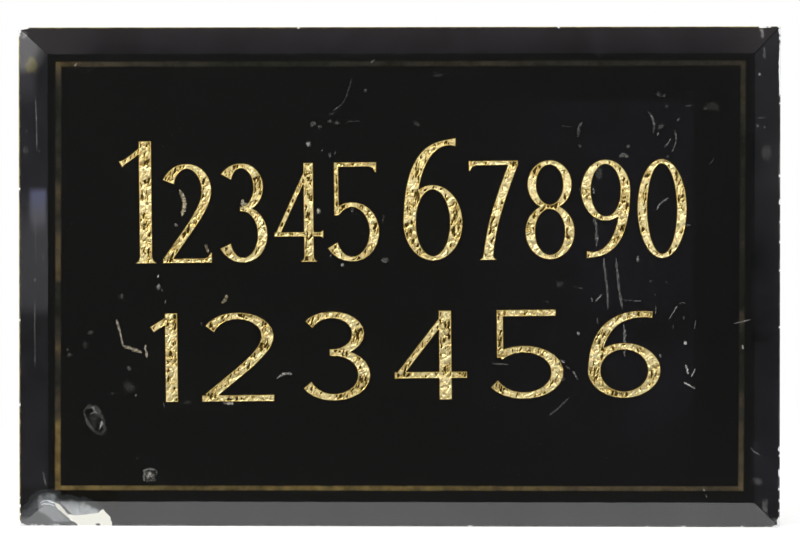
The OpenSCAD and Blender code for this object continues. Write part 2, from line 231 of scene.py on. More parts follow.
def plate_glass(glass):
    """Old polished plate glass: clear, faintly green through its thickness, with soft smears that
    show only where the surface mirrors something. Lamps reach through it in straight lines."""
    made, tree = material("polished_plate_glass")
    place = add(tree, "ShaderNodeTexCoord").outputs["Object"]
    # smears 38 mm long and 11 mm broad, where a cloth went over it, and waves 70 mm across
    wipe = add(tree, "ShaderNodeMapping", {
        "Vector": place, "Rotation": (0, 0.5, 0), "Scale": (1, 1, 3.5)})
    smear = add(tree, "ShaderNodeTexNoise", {
        "Vector": wipe.outputs[0], "Scale": 26, "Detail": 6, "Roughness": 0.62})
    rough = add(tree, "ShaderNodeMapRange", {
        "Value": smear.outputs[0], "From Min": 0.5, "From Max": 0.8, "To Min": 0.0, "To Max": 0.035})
    wave = add(tree, "ShaderNodeTexNoise", {"Vector": place, "Scale": 14, "Detail": 1})
    bump = add(tree, "ShaderNodeBump", {"Height": wave.outputs[0], "Strength": 0.02, "Distance": 0.0006})
    body = add(tree, "ShaderNodeBsdfPrincipled", {
        "Base Color": (1, 1, 1, 1), "Roughness": rough.outputs[0], "IOR": 1.52,
        "Transmission Weight": 1.0, "Normal": bump.outputs[0]})
    open_way = add(tree, "ShaderNodeBsdfTransparent")
    path = add(tree, "ShaderNodeLightPath")
    mix = add(tree, "ShaderNodeMixShader", {
        0: path.outputs["Is Shadow Ray"], 1: body.outputs[0], 2: open_way.outputs[0]})
    tint = add(tree, "ShaderNodeVolumeAbsorption", {"Color": (*glass.tint, 1), "Density": 14})
    add(tree, "ShaderNodeOutputMaterial", {"Surface": mix.outputs[0], "Volume": tint.outputs[0]})
    return made


def crinkled_leaf(gilding):
    """Gold leaf laid on deeply etched glass: pale and satin on the smooth rim, sparkling on the
    wrinkles, and brown with painted shade down in the creases, in the hollows and on the sloping edge."""
    made, tree = material("crinkled_gold_leaf")
    crease = add(tree, "ShaderNodeAttribute", attribute_name="crease").outputs["Fac"]
    rim = add(tree, "ShaderNodeAttribute", attribute_name="rim").outputs["Fac"]
    place = add(tree, "ShaderNodeTexCoord").outputs["Object"]
    # ripples 1 mm apart and three times as long, leaning with the wrinkles, and patches 3 mm across
    leaning = add(tree, "ShaderNodeMapping", {
        "Vector": place, "Rotation": (0, -gilding.lean, 0), "Scale": (3, 1, 1)}, vector_type="TEXTURE")
    grain = add(tree, "ShaderNodeTexNoise", {
        "Vector": leaning.outputs[0], "Scale": 950, "Detail": 3, "Roughness": 0.6})
    patch = add(tree, "ShaderNodeTexNoise", {"Vector": place, "Scale": 330, "Detail": 2})
    # the crease attribute is painted shade: clean leaf at 0, then the tarnish colours, which stand for shade,
    # as it rises
    tarnish = add(tree, "ShaderNodeValToRGB", {"Fac": crease}, [
        (0.0, (*gilding.leaf, 1)), (0.35, rgba("#C8AD69")), (0.7, (*gilding.tarnish, 1)),
        (1.0, rgba("#3B3013"))])
    warm = add(tree, "ShaderNodeValToRGB", {"Fac": patch.outputs[0]}, [
        (0.4, rgba("#FFFFFF")), (0.75, rgba("#FFF0DC"))])
    colour = add(tree, "ShaderNodeMix", {0: 1.0, 6: tarnish.outputs[0], 7: warm.outputs[0]},
                 data_type="RGBA", blend_type="MULTIPLY")
    rough = add(tree, "ShaderNodeMapRange", {
        "Value": rim, "From Min": 0, "From Max": 1, "To Min": 0.4, "To Max": 0.43})
    bump = add(tree, "ShaderNodeBump", {"Height": grain.outputs[0], "Strength": 0.8, "Distance": 0.00042})
    body = add(tree, "ShaderNodeBsdfPrincipled", {
        "Base Color": colour.outputs[2], "Metallic": 1.0, "Roughness": rough.outputs[0],
        "Normal": bump.outputs[0]})
    add(tree, "ShaderNodeOutputMaterial", {"Surface": body.outputs[0]})
    return made


def burnished_leaf(gilding):
    """Burnished gold leaf laid flat on the glass: bronze where its gild is high, dull grey where it is low,
    partly leaf rubbed through to the size and partly painted shade, and fading into the enamel at its edges."""
    made, tree = material("burnished_gold_leaf")
    gild = add(tree, "ShaderNodeAttribute", attribute_name="gild").outputs["Fac"]
    cover = add(tree, "ShaderNodeAttribute", attribute_name="cover").outputs["Fac"]
    place = add(tree, "ShaderNodeTexCoord").outputs["Object"]
    # worn patches 8 mm across
    wear = add(tree, "ShaderNodeTexNoise", {"Vector": place, "Scale": 130, "Detail": 5, "Roughness": 0.65})
    height = add(tree, "ShaderNodeSeparateXYZ", {"Vector": place}).outputs[2]
    # half-gilded leaf is darker than an even mix of the gold and the grey
    colour = add(tree, "ShaderNodeValToRGB", {"Fac": gild}, [
        (0.0, (*gilding.rubbed_and_shaded_leaf, 1)), (0.25, rgba("#483F33")), (0.5, rgba("#67573E")),
        (0.75, rgba("#87744C")), (1.0, (*gilding.worn_leaf, 1))])
    patchy = add(tree, "ShaderNodeValToRGB", {"Fac": wear.outputs[0]}, [
        (0.3, rgba("#A8A8A8")), (0.6, rgba("#FFFFFF"))])
    worn = add(tree, "ShaderNodeMix", {0: 1.0, 6: colour.outputs[0], 7: patchy.outputs[0]},
               data_type="RGBA", blend_type="MULTIPLY")
    faded = add(tree, "ShaderNodeMix", {0: cover, 6: rgba("#15130F"), 7: worn.outputs[2]}, data_type="RGBA")
    # matt towards the foot, where the leaf catches more light
    matt = add(tree, "ShaderNodeMapRange", {
        "Value": height, "From Min": 0.06, "From Max": -0.12, "To Min": 0.25, "To Max": 0.3})
    body = add(tree, "ShaderNodeBsdfPrincipled", {
        "Base Color": faded.outputs[2], "Metallic": gild, "Roughness": matt.outputs[0],
        "Specular IOR Level": 0.05})
    add(tree, "ShaderNodeOutputMaterial", {"Surface": body.outputs[0]})
    return made


def enamel_under_glass(enamel):
    """Black enamel in contact with the glass: deep and even, with a faint bluish bloom in a square
    patch on the right, and mottled clouds under the bevels."""
    made, tree = material("black_enamel_under_glass")
    place = add(tree, "ShaderNodeTexCoord").outputs["Object"]
    at = add(tree, "ShaderNodeSeparateXYZ", {"Vector": place})
    across, up = at.outputs[0], at.outputs[2]
    # the bloom is cloudy, in clouds 42 mm across, and fades out to the left
    cloud = add(tree, "ShaderNodeTexNoise", {"Vector": place, "Scale": 24, "Detail": 5, "Roughness": 0.6})
    bloom = add(tree, "ShaderNodeMapRange", {
        "Value": cloud.outputs[0], "From Min": 0.35, "From Max": 0.7, "To Min": 0.25, "To Max": 1.0})
    # its patch starts right of the middle and ends short of the gold line, in metres
    patch = within(tree, (across, 0.03, 0.11), (across, 0.1785, 0.1755),
                   (up, -0.13, -0.08), (up, 0.108, 0.103))
    share = add(tree, "ShaderNodeMath", {0: patch, 1: bloom.outputs[0]}, operation="MULTIPLY")
    bloomed = add(tree, "ShaderNodeMix", {
        0: share.outputs[0], 6: (*enamel.black, 1), 7: (*enamel.haze, 1)}, data_type="RGBA")
    # the coat under the bevels is mottled, in patches 20 mm across
    damp = add(tree, "ShaderNodeTexNoise", {"Vector": place, "Scale": 48, "Detail": 4, "Roughness": 0.6})
    mottled = add(tree, "ShaderNodeValToRGB", {"Fac": damp.outputs[0]}, [
        (0.35, rgba("#090909")), (0.7, rgba("#171619"))])
    colour = layered(
        tree, mottled.outputs[0],
        (bloomed.outputs[2], (across, -0.213, -0.21), (across, 0.213, 0.21), (up, -0.136, -0.133),
         (up, 0.135, 0.132)))
    body = add(tree, "ShaderNodeBsdfPrincipled", {
        "Base Color": colour, "Roughness": 0.6, "Specular IOR Level": 0.03})
    add(tree, "ShaderNodeOutputMaterial", {"Surface": body.outputs[0]})
    return made


def brushed_enamel(enamel):
    """The same enamel in air, on the back of the sign: brush marks and a dull gloss."""
    made, tree = material("brushed_black_enamel")
    place = add(tree, "ShaderNodeTexCoord").outputs["Object"]
    stroke = add(tree, "ShaderNodeMapping", {"Vector": place, "Scale": (0.06, 1, 1)})
    # bristle marks about 0.8 mm apart, run level
    bristle = add(tree, "ShaderNodeTexNoise", {
        "Vector": stroke.outputs[0], "Scale": 1300, "Detail": 2, "Roughness": 0.6})
    # and dust in clouds 17 mm across
    dust = add(tree, "ShaderNodeTexNoise", {"Vector": place, "Scale": 60, "Detail": 6})
    colour = add(tree, "ShaderNodeValToRGB", {"Fac": dust.outputs[0]}, [
        (0.4, (*enamel.back, 1)), (0.75, rgba("#2E2D2B"))])
    bump = add(tree, "ShaderNodeBump", {"Height": bristle.outputs[0], "Strength": 0.35, "Distance": 0.0002})
    body = add(tree, "ShaderNodeBsdfPrincipled", {
        "Base Color": colour.outputs[0], "Roughness": 0.38, "Normal": bump.outputs[0]})
    add(tree, "ShaderNodeOutputMaterial", {"Surface": body.outputs[0]})
    return made


def scratched_enamel(enamel):
    """Enamel scored from behind: dull and thickest along the middle of a mark, grey, pale, cream or
    olive by what lay against it."""
    made, tree = material("scratched_enamel")
    cover = add(tree, "ShaderNodeAttribute", attribute_name="cover").outputs["Fac"]
    tone = add(tree, "ShaderNodeAttribute", attribute_name="tone").outputs["Fac"]
    place = add(tree, "ShaderNodeTexCoord").outputs["Object"]
    colour = add(tree, "ShaderNodeValToRGB", {"Fac": tone}, [
        (0.0, (*enamel.mark, 1)), (0.25, rgba("#C8C0BF")), (0.6, rgba("#AE9F85")), (1.0, rgba("#564F1C"))])
    # the marks are broken up by specks 1 mm apart
    speck = add(tree, "ShaderNodeTexNoise", {"Vector": place, "Scale": 900, "Detail": 3})
    broken = add(tree, "ShaderNodeMapRange", {
        "Value": speck.outputs[0], "From Min": 0.3, "From Max": 0.6, "To Min": 0.55, "To Max": 1.0})
    share = add(tree, "ShaderNodeMath", {0: cover, 1: broken.outputs[0]}, operation="MULTIPLY")
    body = add(tree, "ShaderNodeBsdfPrincipled", {
        "Base Color": colour.outputs[0], "Roughness": 0.8, "Specular IOR Level": 0.05,
        "Alpha": share.outputs[0]})
    add(tree, "ShaderNodeOutputMaterial", {"Surface": body.outputs[0]})
    return made


def size_film(enamel):
    """Old size and undercoat left where the enamel came away: thin, grey, mottled and ragged."""
    made, tree = material("old_size_film")
    cover = add(tree, "ShaderNodeAttribute", attribute_name="cover").outputs["Fac"]
    tone = add(tree, "ShaderNodeAttribute", attribute_name="tone").outputs["Fac"]
    place = add(tree, "ShaderNodeTexCoord").outputs["Object"]
    # mottled in patches 2.4 mm across
    mottle = add(tree, "ShaderNodeTexNoise", {"Vector": place, "Scale": 420, "Detail": 5})
    patchy = add(tree, "ShaderNodeMapRange", {
        "Value": mottle.outputs[0], "From Min": 0.3, "From Max": 0.7, "To Min": 0.82, "To Max": 1.15})
    shade = add(tree, "ShaderNodeMath", {0: tone, 1: patchy.outputs[0]}, operation="MULTIPLY")
    colour = add(tree, "ShaderNodeValToRGB", {"Fac": shade.outputs[0]}, [
        (0.0, rgba("#050505")), (1.0, (*enamel.residue, 1))])
    film = add(tree, "ShaderNodeBsdfDiffuse", {"Color": colour.outputs[0], "Roughness": 1.0})
    clear = add(tree, "ShaderNodeBsdfTransparent", {"Color": (*enamel.size, 1)})
    mix = add(tree, "ShaderNodeMixShader", {0: cover, 1: clear.outputs[0], 2: film.outputs[0]})
    add(tree, "ShaderNodeOutputMaterial", {"Surface": mix.outputs[0]})
    return made


def ground_glass(glass):
    """The rim's ground arris and its fresh chips: frosted and pale, paler on the chips, with painted glints
    there, and tinted yellow on the top and left sides as a painted highlight."""
    made, tree = material("ground_glass_edge")
    place = add(tree, "ShaderNodeTexCoord").outputs["Object"]
    chip = add(tree, "ShaderNodeAttribute", attribute_name="chip").outputs["Fac"]
    worn = add(tree, "ShaderNodeAttribute", attribute_name="worn").outputs["Fac"]
    stain = add(tree, "ShaderNodeAttribute", attribute_name="stain").outputs["Fac"]
    # grit 0.7 mm apart, coarser than life so that it shows, and wear in patches 8 mm across
    grit = add(tree, "ShaderNodeTexNoise", {"Vector": place, "Scale": 1500, "Detail": 3})
    patchy = add(tree, "ShaderNodeTexNoise", {"Vector": place, "Scale": 120, "Detail": 4})
    wear = add(tree, "ShaderNodeMapRange", {
        "Value": patchy.outputs[0], "From Min": 0.35, "From Max": 0.65, "To Min": 0.5, "To Max": 1.2})
    frost = add(tree, "ShaderNodeMath", {0: wear.outputs[0], 1: worn}, operation="MULTIPLY")
    cover = add(tree, "ShaderNodeMath", {0: frost.outputs[0], 1: chip}, operation="MAXIMUM")
    # the stain tints the top and left rims yellow: painted highlight
    arris = add(tree, "ShaderNodeMix", {0: stain, 6: (*glass.ground, 1), 7: (*glass.stain, 1)},
                data_type="RGBA")
    fresh = add(tree, "ShaderNodeMapRange", {"Value": chip, "From Min": 0.1, "From Max": 0.6})
    colour = add(tree, "ShaderNodeMix", {0: fresh.outputs[0], 6: arris.outputs[2], 7: rgba("#C2C4C4")},
                 data_type="RGBA")
    bump = add(tree, "ShaderNodeBump", {"Height": grit.outputs[0], "Strength": 0.8, "Distance": 0.0002})
    body = add(tree, "ShaderNodeBsdfPrincipled", {
        "Base Color": colour.outputs[2], "Roughness": 0.5, "IOR": 1.52,
        "Alpha": cover.outputs[0], "Normal": bump.outputs[0]})
    add(tree, "ShaderNodeOutputMaterial", {"Surface": body.outputs[0]})
    return made


def painted_ridge_reflection():
    """The rounded ridge where two bevels meet, painted dark along its middle: a painted reflection of the
    dark studio.
    """
    made, tree = material("ridge_painted_reflection")
    cover = add(tree, "ShaderNodeAttribute", attribute_name="cover").outputs["Fac"]
    share = add(tree, "ShaderNodeMath", {0: cover, 1: 0.9}, operation="MULTIPLY")
    body = add(tree, "ShaderNodeBsdfPrincipled", {
        "Base Color": rgba("#0A0A0C"), "Roughness": 0.5, "Specular IOR Level": 0.1,
        "Alpha": share.outputs[0]})
    add(tree, "ShaderNodeOutputMaterial", {"Surface": body.outputs[0]})
    return made


def birch_plywood(board):
    """Birch plywood: a rotary-cut face veneer with long grain, and light and dark plies on edge."""
    made, tree = material("birch_plywood")
    place = add(tree, "ShaderNodeTexCoord").outputs["Object"]
    # figure 20 mm broad and nine times as long, cut across its rings, and pores 0.7 mm apart
    along = add(tree, "ShaderNodeMapping", {"Vector": place, "Scale": (5.5, 5.5, 50)})
    warp = add(tree, "ShaderNodeTexNoise", {
        "Vector": along.outputs[0], "Scale": 1, "Detail": 4, "Roughness": 0.5, "Distortion": 0.6})
    turns = add(tree, "ShaderNodeMath", {0: warp.outputs[0], 1: 60}, operation="MULTIPLY")
    ring = add(tree, "ShaderNodeMath", {0: turns.outputs[0]}, operation="SINE")
    ring_share = add(tree, "ShaderNodeMapRange", {"Value": ring.outputs[0], "From Min": -1, "From Max": 1})
    pore = add(tree, "ShaderNodeMapping", {"Vector": place, "Scale": (60, 60, 1400)})
    pores = add(tree, "ShaderNodeTexNoise", {"Vector": pore.outputs[0], "Scale": 1, "Detail": 3})
    grain = add(tree, "ShaderNodeMix", {0: 0.28, 6: warp.outputs[0], 7: ring_share.outputs[0]},
                data_type="RGBA")
    fine = add(tree, "ShaderNodeMix", {0: 0.3, 6: grain.outputs[2], 7: pores.outputs[0]}, data_type="RGBA")
    face = add(tree, "ShaderNodeValToRGB", {"Fac": fine.outputs[2]}, [
        (0.28, (*board.dark_ply, 1)), (0.5, (*board.face_ply, 1)), (0.72, rgba("#DFC8A2"))])
    depth = add(tree, "ShaderNodeSeparateXYZ", {"Vector": place})
    # seven plies through the 10 mm of the board
    layer = add(tree, "ShaderNodeMath", {0: depth.outputs[1], 1: math.pi * 700}, operation="MULTIPLY")
    ply = add(tree, "ShaderNodeMath", {0: layer.outputs[0]}, operation="SINE")
    edge = add(tree, "ShaderNodeValToRGB", {"Fac": ply.outputs[0]}, [
        (0.0, rgba("#C9A97A")), (0.15, rgba("#8C6A43"))])
    edge_grain = add(tree, "ShaderNodeMix", {0: 0.3, 6: edge.outputs[0], 7: pores.outputs[0]},
                     data_type="RGBA", blend_type="OVERLAY")
    normal = add(tree, "ShaderNodeNewGeometry").outputs["Normal"]
    facing = add(tree, "ShaderNodeSeparateXYZ", {"Vector": normal})
    squareness = add(tree, "ShaderNodeMath", {0: facing.outputs[1]}, operation="ABSOLUTE")
    on_face = add(tree, "ShaderNodeMath", {0: squareness.outputs[0], 1: 0.9}, operation="GREATER_THAN")
    colour = add(tree, "ShaderNodeMix", {
        0: on_face.outputs[0], 6: edge_grain.outputs[2], 7: face.outputs[0]}, data_type="RGBA")
    bump = add(tree, "ShaderNodeBump", {"Height": pores.outputs[0], "Strength": 0.3, "Distance": 0.0002})
    body = add(tree, "ShaderNodeBsdfPrincipled", {
        "Base Color": colour.outputs[2], "Roughness": 0.62, "Normal": bump.outputs[0]})
    add(tree, "ShaderNodeOutputMaterial", {"Surface": body.outputs[0]})
    return made


def old_brass(name, colour, tarnish, line_spacing):
    """Brass, rolled or turned: yellow, with fine lines, brown tarnish and a soft shine."""
    made, tree = material(name)
    place = add(tree, "ShaderNodeTexCoord").outputs["Object"]
    # lines twenty times as long as their spacing, which is in metres, and tarnish in spots 7 mm across
    roll = add(tree, "ShaderNodeMapping", {"Vector": place, "Scale": (1, 1, 0.05)})
    lines = add(tree, "ShaderNodeTexNoise", {
        "Vector": roll.outputs[0], "Scale": 1 / line_spacing, "Detail": 2})
    stain = add(tree, "ShaderNodeTexNoise", {"Vector": place, "Scale": 140, "Detail": 6, "Roughness": 0.65})
    tone = add(tree, "ShaderNodeValToRGB", {"Fac": stain.outputs[0]}, [
        (0.3, (*tarnish, 1)), (0.62, (*colour, 1))])
    rough = add(tree, "ShaderNodeMapRange", {
        "Value": stain.outputs[0], "From Min": 0.3, "From Max": 0.7, "To Min": 0.5, "To Max": 0.28})
    bump = add(tree, "ShaderNodeBump", {"Height": lines.outputs[0], "Strength": 0.25, "Distance": 0.0001})
    body = add(tree, "ShaderNodeBsdfPrincipled", {
        "Base Color": tone.outputs[0], "Metallic": 1.0, "Roughness": rough.outputs[0],
        "Normal": bump.outputs[0]})
    add(tree, "ShaderNodeOutputMaterial", {"Surface": body.outputs[0]})
    return made


def bitumen_mastic(board):
    """Bituminous mastic squeezed between glass and board: dark, dull and lumpy."""
    made, tree = material("bitumen_mastic")
    place = add(tree, "ShaderNodeTexCoord").outputs["Object"]
    # lumps 2.5 mm across
    lump = add(tree, "ShaderNodeTexNoise", {"Vector": place, "Scale": 400, "Detail": 4})
    colour = add(tree, "ShaderNodeValToRGB", {"Fac": lump.outputs[0]}, [
        (0.35, rgba("#3A352D")), (0.7, (*board.mastic, 1))])
    bump = add(tree, "ShaderNodeBump", {"Height": lump.outputs[0], "Strength": 0.7, "Distance": 0.0006})
    body = add(tree, "ShaderNodeBsdfPrincipled", {
        "Base Color": colour.outputs[0], "Roughness": 0.75, "Normal": bump.outputs[0]})
    add(tree, "ShaderNodeOutputMaterial", {"Surface": body.outputs[0]})
    return made


def surface(name, points, face_sets, sharp=math.radians(60)):
    """An object from points in mm and arrays of faces, one face to a row, smooth up to an angle."""
    mesh = bpy.data.meshes.new(name)
    corners = np.concatenate([faces.ravel() for faces in face_sets]).astype(np.int32)
    sizes = np.concatenate([np.full(len(faces), faces.shape[1]) for faces in face_sets])
    starts = np.concatenate([[0], np.cumsum(sizes)[:-1]]).astype(np.int32)
    mesh.vertices.add(len(points))
    mesh.vertices.foreach_set("co", (points * MM).astype(np.float32).ravel())
    mesh.loops.add(len(corners))
    mesh.loops.foreach_set("vertex_index", corners)
    mesh.polygons.add(len(sizes))
    mesh.polygons.foreach_set("loop_start", starts)
    mesh.update(calc_edges=True)
    mesh.validate()
    mesh.polygons.foreach_set("use_smooth", np.ones(len(mesh.polygons), bool))
    mesh.set_sharp_from_angle(angle=sharp)
    piece = bpy.data.objects.new(name, mesh)
    bpy.context.scene.collection.objects.link(piece)
    return piece


def attribute(piece, name, values):
    """Stores one number for each point of a piece."""
    made = piece.data.attributes.new(name, "FLOAT", "POINT")
    made.data.foreach_set("value", np.asarray(values, np.float32))


def merge(piece, distance=0.004):
    """Joins points that lie within a distance in mm and drops the faces that this closes up."""
    shape = bmesh.new()
    shape.from_mesh(piece.data)
    bmesh.ops.remove_doubles(shape, verts=shape.verts, dist=distance * MM)
    shape.to_mesh(piece.data)
    shape.free()


def soft_noise(x, z, seed):
    """Value noise from 0 to 1: random values at whole numbers, joined by smooth steps."""
    table = np.random.default_rng(seed).random((128, 128))
    i, j = np.floor(x).astype(int), np.floor(z).astype(int)
    u, v = x - i, z - j
    u, v = u * u * (3 - 2 * u), v * v * (3 - 2 * v)
    low = table[i % 128, j % 128] * (1 - u) + table[(i + 1) % 128, j % 128] * u
    high = table[i % 128, (j + 1) % 128] * (1 - u) + table[(i + 1) % 128, (j + 1) % 128] * u
    return low * (1 - v) + high * v


def line_noise(along, size, seed, row=0):
    """Value noise along a line, in waves of a size in mm."""
    return soft_noise(along / size, along * 0 + row, seed)


def plan_noise(plan, size, seed):
    """Value noise over places in x and z, in patches of a size in mm."""
    return soft_noise(plan[..., 0] / size, plan[..., 1] / size, seed)


def turned(x, z, angle):
    """How far places lie along a direction, an angle up from level, and how far across it."""
    return x * np.cos(angle) + z * np.sin(angle), z * np.cos(angle) - x * np.sin(angle)


def smooth_step(low, high, x):
    """A share that rises smoothly from 0 at the low value to 1 at the high one."""
    t = np.clip((x - low) / (high - low), 0, 1)
    return t * t * (3 - 2 * t)


def grid_faces(rows, columns, first=0):
    """Square faces over a grid of points that are counted row by row. A square is cut in two from
    its first corner: 0 is its lowest row and column, and from 1, in the next row, the cut runs the
    other way."""
    index = np.arange(rows * columns).reshape(rows, columns)
    corners = [index[:-1, :-1], index[1:, :-1], index[1:, 1:], index[:-1, 1:]]
    return np.stack(corners[first:] + corners[:first], -1).reshape(-1, 4)


def single_edges(faces):
    """Edges that only one of the faces has, in that face's order."""
    edges = np.concatenate([faces[:, [i, (i + 1) % faces.shape[1]]] for i in range(faces.shape[1])])
    count = faces.max() + 1
    single = ~np.isin(edges[:, 0] * count + edges[:, 1], edges[:, 1] * count + edges[:, 0])
    return edges[single]


def face_outline(name, depth):
    """Edges in x and z, in mm, that bound the flat face of a node at a depth: those that only one
    of the face's triangles has."""
    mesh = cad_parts[name].data
    mesh.calc_loop_triangles()
    triangles = np.empty(len(mesh.loop_triangles) * 3, np.int32)
    mesh.loop_triangles.foreach_get("vertices", triangles)
    unique, index = np.unique(np.round(node_points(name), 3), axis=0, return_inverse=True)
    triangles = index.ravel()[triangles].reshape(-1, 3)
    flat = np.abs(unique[:, 1] - depth) < SAME
    edges = single_edges(triangles[flat[triangles].all(1)])
    return unique[edges][:, :, [0, 2]]


def distance_inside(points, edges):
    """Distance from each point to the nearest edge, above zero inside the outline, then the nearest
    place on the outline and the way inwards there. Edges have the inside on their left, and a point
    is inside where a level line from it crosses an odd number of them."""
    best = np.full(len(points), 1e9)
    nearest, inwards = np.zeros_like(points), np.zeros_like(points)
    inside = np.zeros(len(points), bool)
    for a, b in edges:
        along = b - a
        length = math.hypot(*along)
        if length == 0:
            continue
        share = np.clip((points - a) @ along / length ** 2, 0, 1)
        foot = a + share[:, None] * along
        gap = np.hypot(*(points - foot).T)
        closer = gap < best
        best[closer] = gap[closer]
        nearest[closer] = foot[closer]
        inwards[closer] = (-along[1] / length, along[0] / length)
        if a[1] != b[1]:
            spans = (a[1] > points[:, 1]) != (b[1] > points[:, 1])
            crossing = a[0] + (points[:, 1] - a[1]) * along[0] / along[1]
            inside ^= spans & (points[:, 0] < crossing)
    return np.where(inside, best, -best), nearest, inwards


def fitted_grid(edges, cell, inset=0):
    """Points and square faces that fill an outline: a grid whose border points are drawn onto the
    outline, or just inside it by the inset. Returns points, faces and distances from the outline."""
    low, high = edges.min((0, 1)) - 2 * cell, edges.max((0, 1)) + 2 * cell
    x, z = np.arange(low[0], high[0], cell), np.arange(low[1], high[1], cell)
    grid = np.stack(np.meshgrid(x, z, indexing="ij"), -1).reshape(-1, 2)
    distance, nearest, inwards = distance_inside(grid, edges)
    reach = 0.4 * cell
    faces = grid_faces(len(x), len(z))
    faces = faces[(distance[faces] > reach).any(1)]
    near = distance < reach
    grid[near] = nearest[near] + inset * inwards[near]
    distance[near] = 0
    used = np.unique(faces)
    renumber = np.zeros(len(grid), int)
    renumber[used] = np.arange(len(used))
    return grid[used], renumber[faces], distance[used]


def closed_sheet(name, plan, faces, front, back):
    """A solid with a front and a back over one plan, joined by walls round its border. front and
    back give the depth of each point."""
    count = len(plan)
    points = np.concatenate([
        np.column_stack([plan[:, 0], np.broadcast_to(front, count), plan[:, 1]]),
        np.column_stack([plan[:, 0], np.broadcast_to(back, count), plan[:, 1]])])
    rim = single_edges(faces)
    walls = np.column_stack([rim[:, 1], rim[:, 0], rim[:, 0] + count, rim[:, 1] + count])
    return surface(name, points, [faces, faces[:, ::-1] + count, walls])


def scallops(along, across, seed):
    """Shallow hollows with sharp ridges between them, in cells one unit across: at each point the
    lowest of the tilted bowls round the random middles of the nine nearest cells. Returns the height,
    the place in the bowl along and across, and the bowl's own random number."""
    table = np.random.default_rng(seed).random((64, 64, 6))
    i, j = np.floor(along).astype(int), np.floor(across).astype(int)
    best = np.full(len(along), 1e9)
    at_u, at_v, chance = np.zeros_like(best), np.zeros_like(best), np.zeros_like(best)
    for step_i in (-1, 0, 1):
        for step_j in (-1, 0, 1):
            cell = table[(i + step_i) % 64, (j + step_j) % 64]
            u = along - (i + step_i + cell[:, 0])
            v = across - (j + step_j + cell[:, 1])
            tilt = u * (cell[:, 2] - 0.5) + v * (cell[:, 3] - 0.5)
            height = u * u + v * v + 0.9 * tilt + 0.15 * cell[:, 4]
            closer = height < best
            best = np.where(closer, height, best)
            at_u, at_v = np.where(closer, u, at_u), np.where(closer, v, at_v)
            chance = np.where(closer, cell[:, 5], chance)
    return best, at_u, at_v, chance


def leaning_streaks(x, z, lean):
    """Narrow streaks along the lean, 3.2 mm long and 0.62 mm apart, bent by a wave of 0.4 mm."""
    bent = x + 0.4 * soft_noise(x / 1.7, z / 1.7, 6)
    along, across = turned(bent, z, lean)
    return smooth_step(0.36, 0.66, soft_noise(along / 3.2, across / 0.62, 5))


def crumple(plan, distance, gilding):
    """How far each point of the leaf lies behind its highest folds, in mm, and how dark it is painted,
    from 0 to 1: painted shade in its hollows. Three sizes of scallop, each turned its own way, add up,
    and short dark spindles of painted shade lie in the bowls of some of the largest. All fade out towards the
    smooth rim."""
    lean, rim = gilding.lean, gilding.rim / MM
    x, z = plan.T
    streak = leaning_streaks(x, z, lean)
    # the scallops wander, so that no row of them runs straight
    x = x + 1.2 * soft_noise(x / 2.1, z / 2.1, 12)
    z = z + 1.2 * soft_noise(x / 2.1, z / 2.1, 13)

    def layer(angle, size, seed):
        """Scallops turned by an angle, of the wrinkles' own size times a share."""
        along, across = turned(x, z, angle)
        length, spacing = gilding.wrinkle_length / MM * size, gilding.wrinkle / MM * size
        return scallops(along / length, across / spacing, seed)

    large, u, v, chance = layer(lean, 1.0, 1)
    small = layer(lean - 0.5, 0.62, 2)[0]
    fine = layer(lean + 0.5, 0.34, 3)[0]
    middle = smooth_step(rim * 0.3, rim * 2.2, distance)
    core = smooth_step(rim, rim * 2.4, distance)
    depth = gilding.height / MM * (large + 0.6 * small + 0.36 * fine) * (0.3 + 0.7 * middle)
    # more of the bowls are painted dark, as painted shade, in some patches, 7 mm across, than in others
    patch = smooth_step(0.25, 0.7, plan_noise(plan, 7, 4))
    dark_bowl = chance > 0.8 - 0.4 * patch
    spindle = 1 - (u / 0.75) ** 2 - (v / 0.8) ** 2
    # the flecks are painted shade, broken into streaks along the lean
    fleck = smooth_step(-0.25, 0.8, spindle) * dark_bowl * core * (0.1 + 0.9 * streak)
    small_hollow = smooth_step(0.16, 0.42, small) * smooth_step(0.1, 0.35, fine)
    # painted shade in the hollows of the large and small scallops, stronger in the dark patches
    hollow_shade = (0.07 + 0.36 * patch) * middle * (0.5 * smooth_step(0.1, 0.4, large) + 0.8 * small_hollow)
    return depth + 0.1 * fleck + 0.1 * streak * middle, np.clip(0.95 * fleck + hollow_shade, 0, 1)


def gilded_numeral(name, gilding, leaf):
    """A relief of one numeral: flat round its rim, sloping back at its edge, wrinkled between."""
    plan, faces, distance = fitted_grid(face_outline(name, POCKET_FLOOR), gilding.cell / MM, CLEARANCE)
    depth, crease = crumple(plan, distance, gilding)
    edge = 1 - smooth_step(0, gilding.slope / MM, distance)
    front = POCKET_FLOOR + CLEARANCE + depth * (1 - edge) + gilding.drop / MM * edge
    piece = closed_sheet(f"{name}_leaf", plan, faces, front, GLASS_BACK - CONTACT)
    rim = 1 - smooth_step(gilding.rim / MM * 0.6, gilding.rim / MM * 1.6, distance)
    # painted shade: the sloping edge is painted dark, and the smooth rim a little darker too
    crease = np.maximum(crease, edge ** 1.2) + 0.04 * rim
    attribute(piece, "crease", np.tile(crease, 2))
    attribute(piece, "rim", np.tile(rim, 2))
    merge(piece)
    return dress(piece, leaf, "gold_leaf", name)


def dress(piece, finish_material, slot, *replaced):
    """Gives a piece its material and its body, and hides the nodes that it stands for. The slot is not used.
    """
    piece.data.materials.append(finish_material)
    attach(piece, "root")
    if replaced:
        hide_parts(*replaced)
    return piece


class BuildNumerals(bpy.types.Operator):
    """Builds the sixteen gilded numerals as wrinkled reliefs"""
    bl_idname = "sign.build_numerals"
    bl_label = "Gilded numerals"

    def execute(self, context):
        gilding = context.scene.sign_gilding
        leaf = crinkled_leaf(gilding)
        for name in UPPER + LOWER:
            gilded_numeral(name, gilding, leaf)
        return {"FINISHED"}


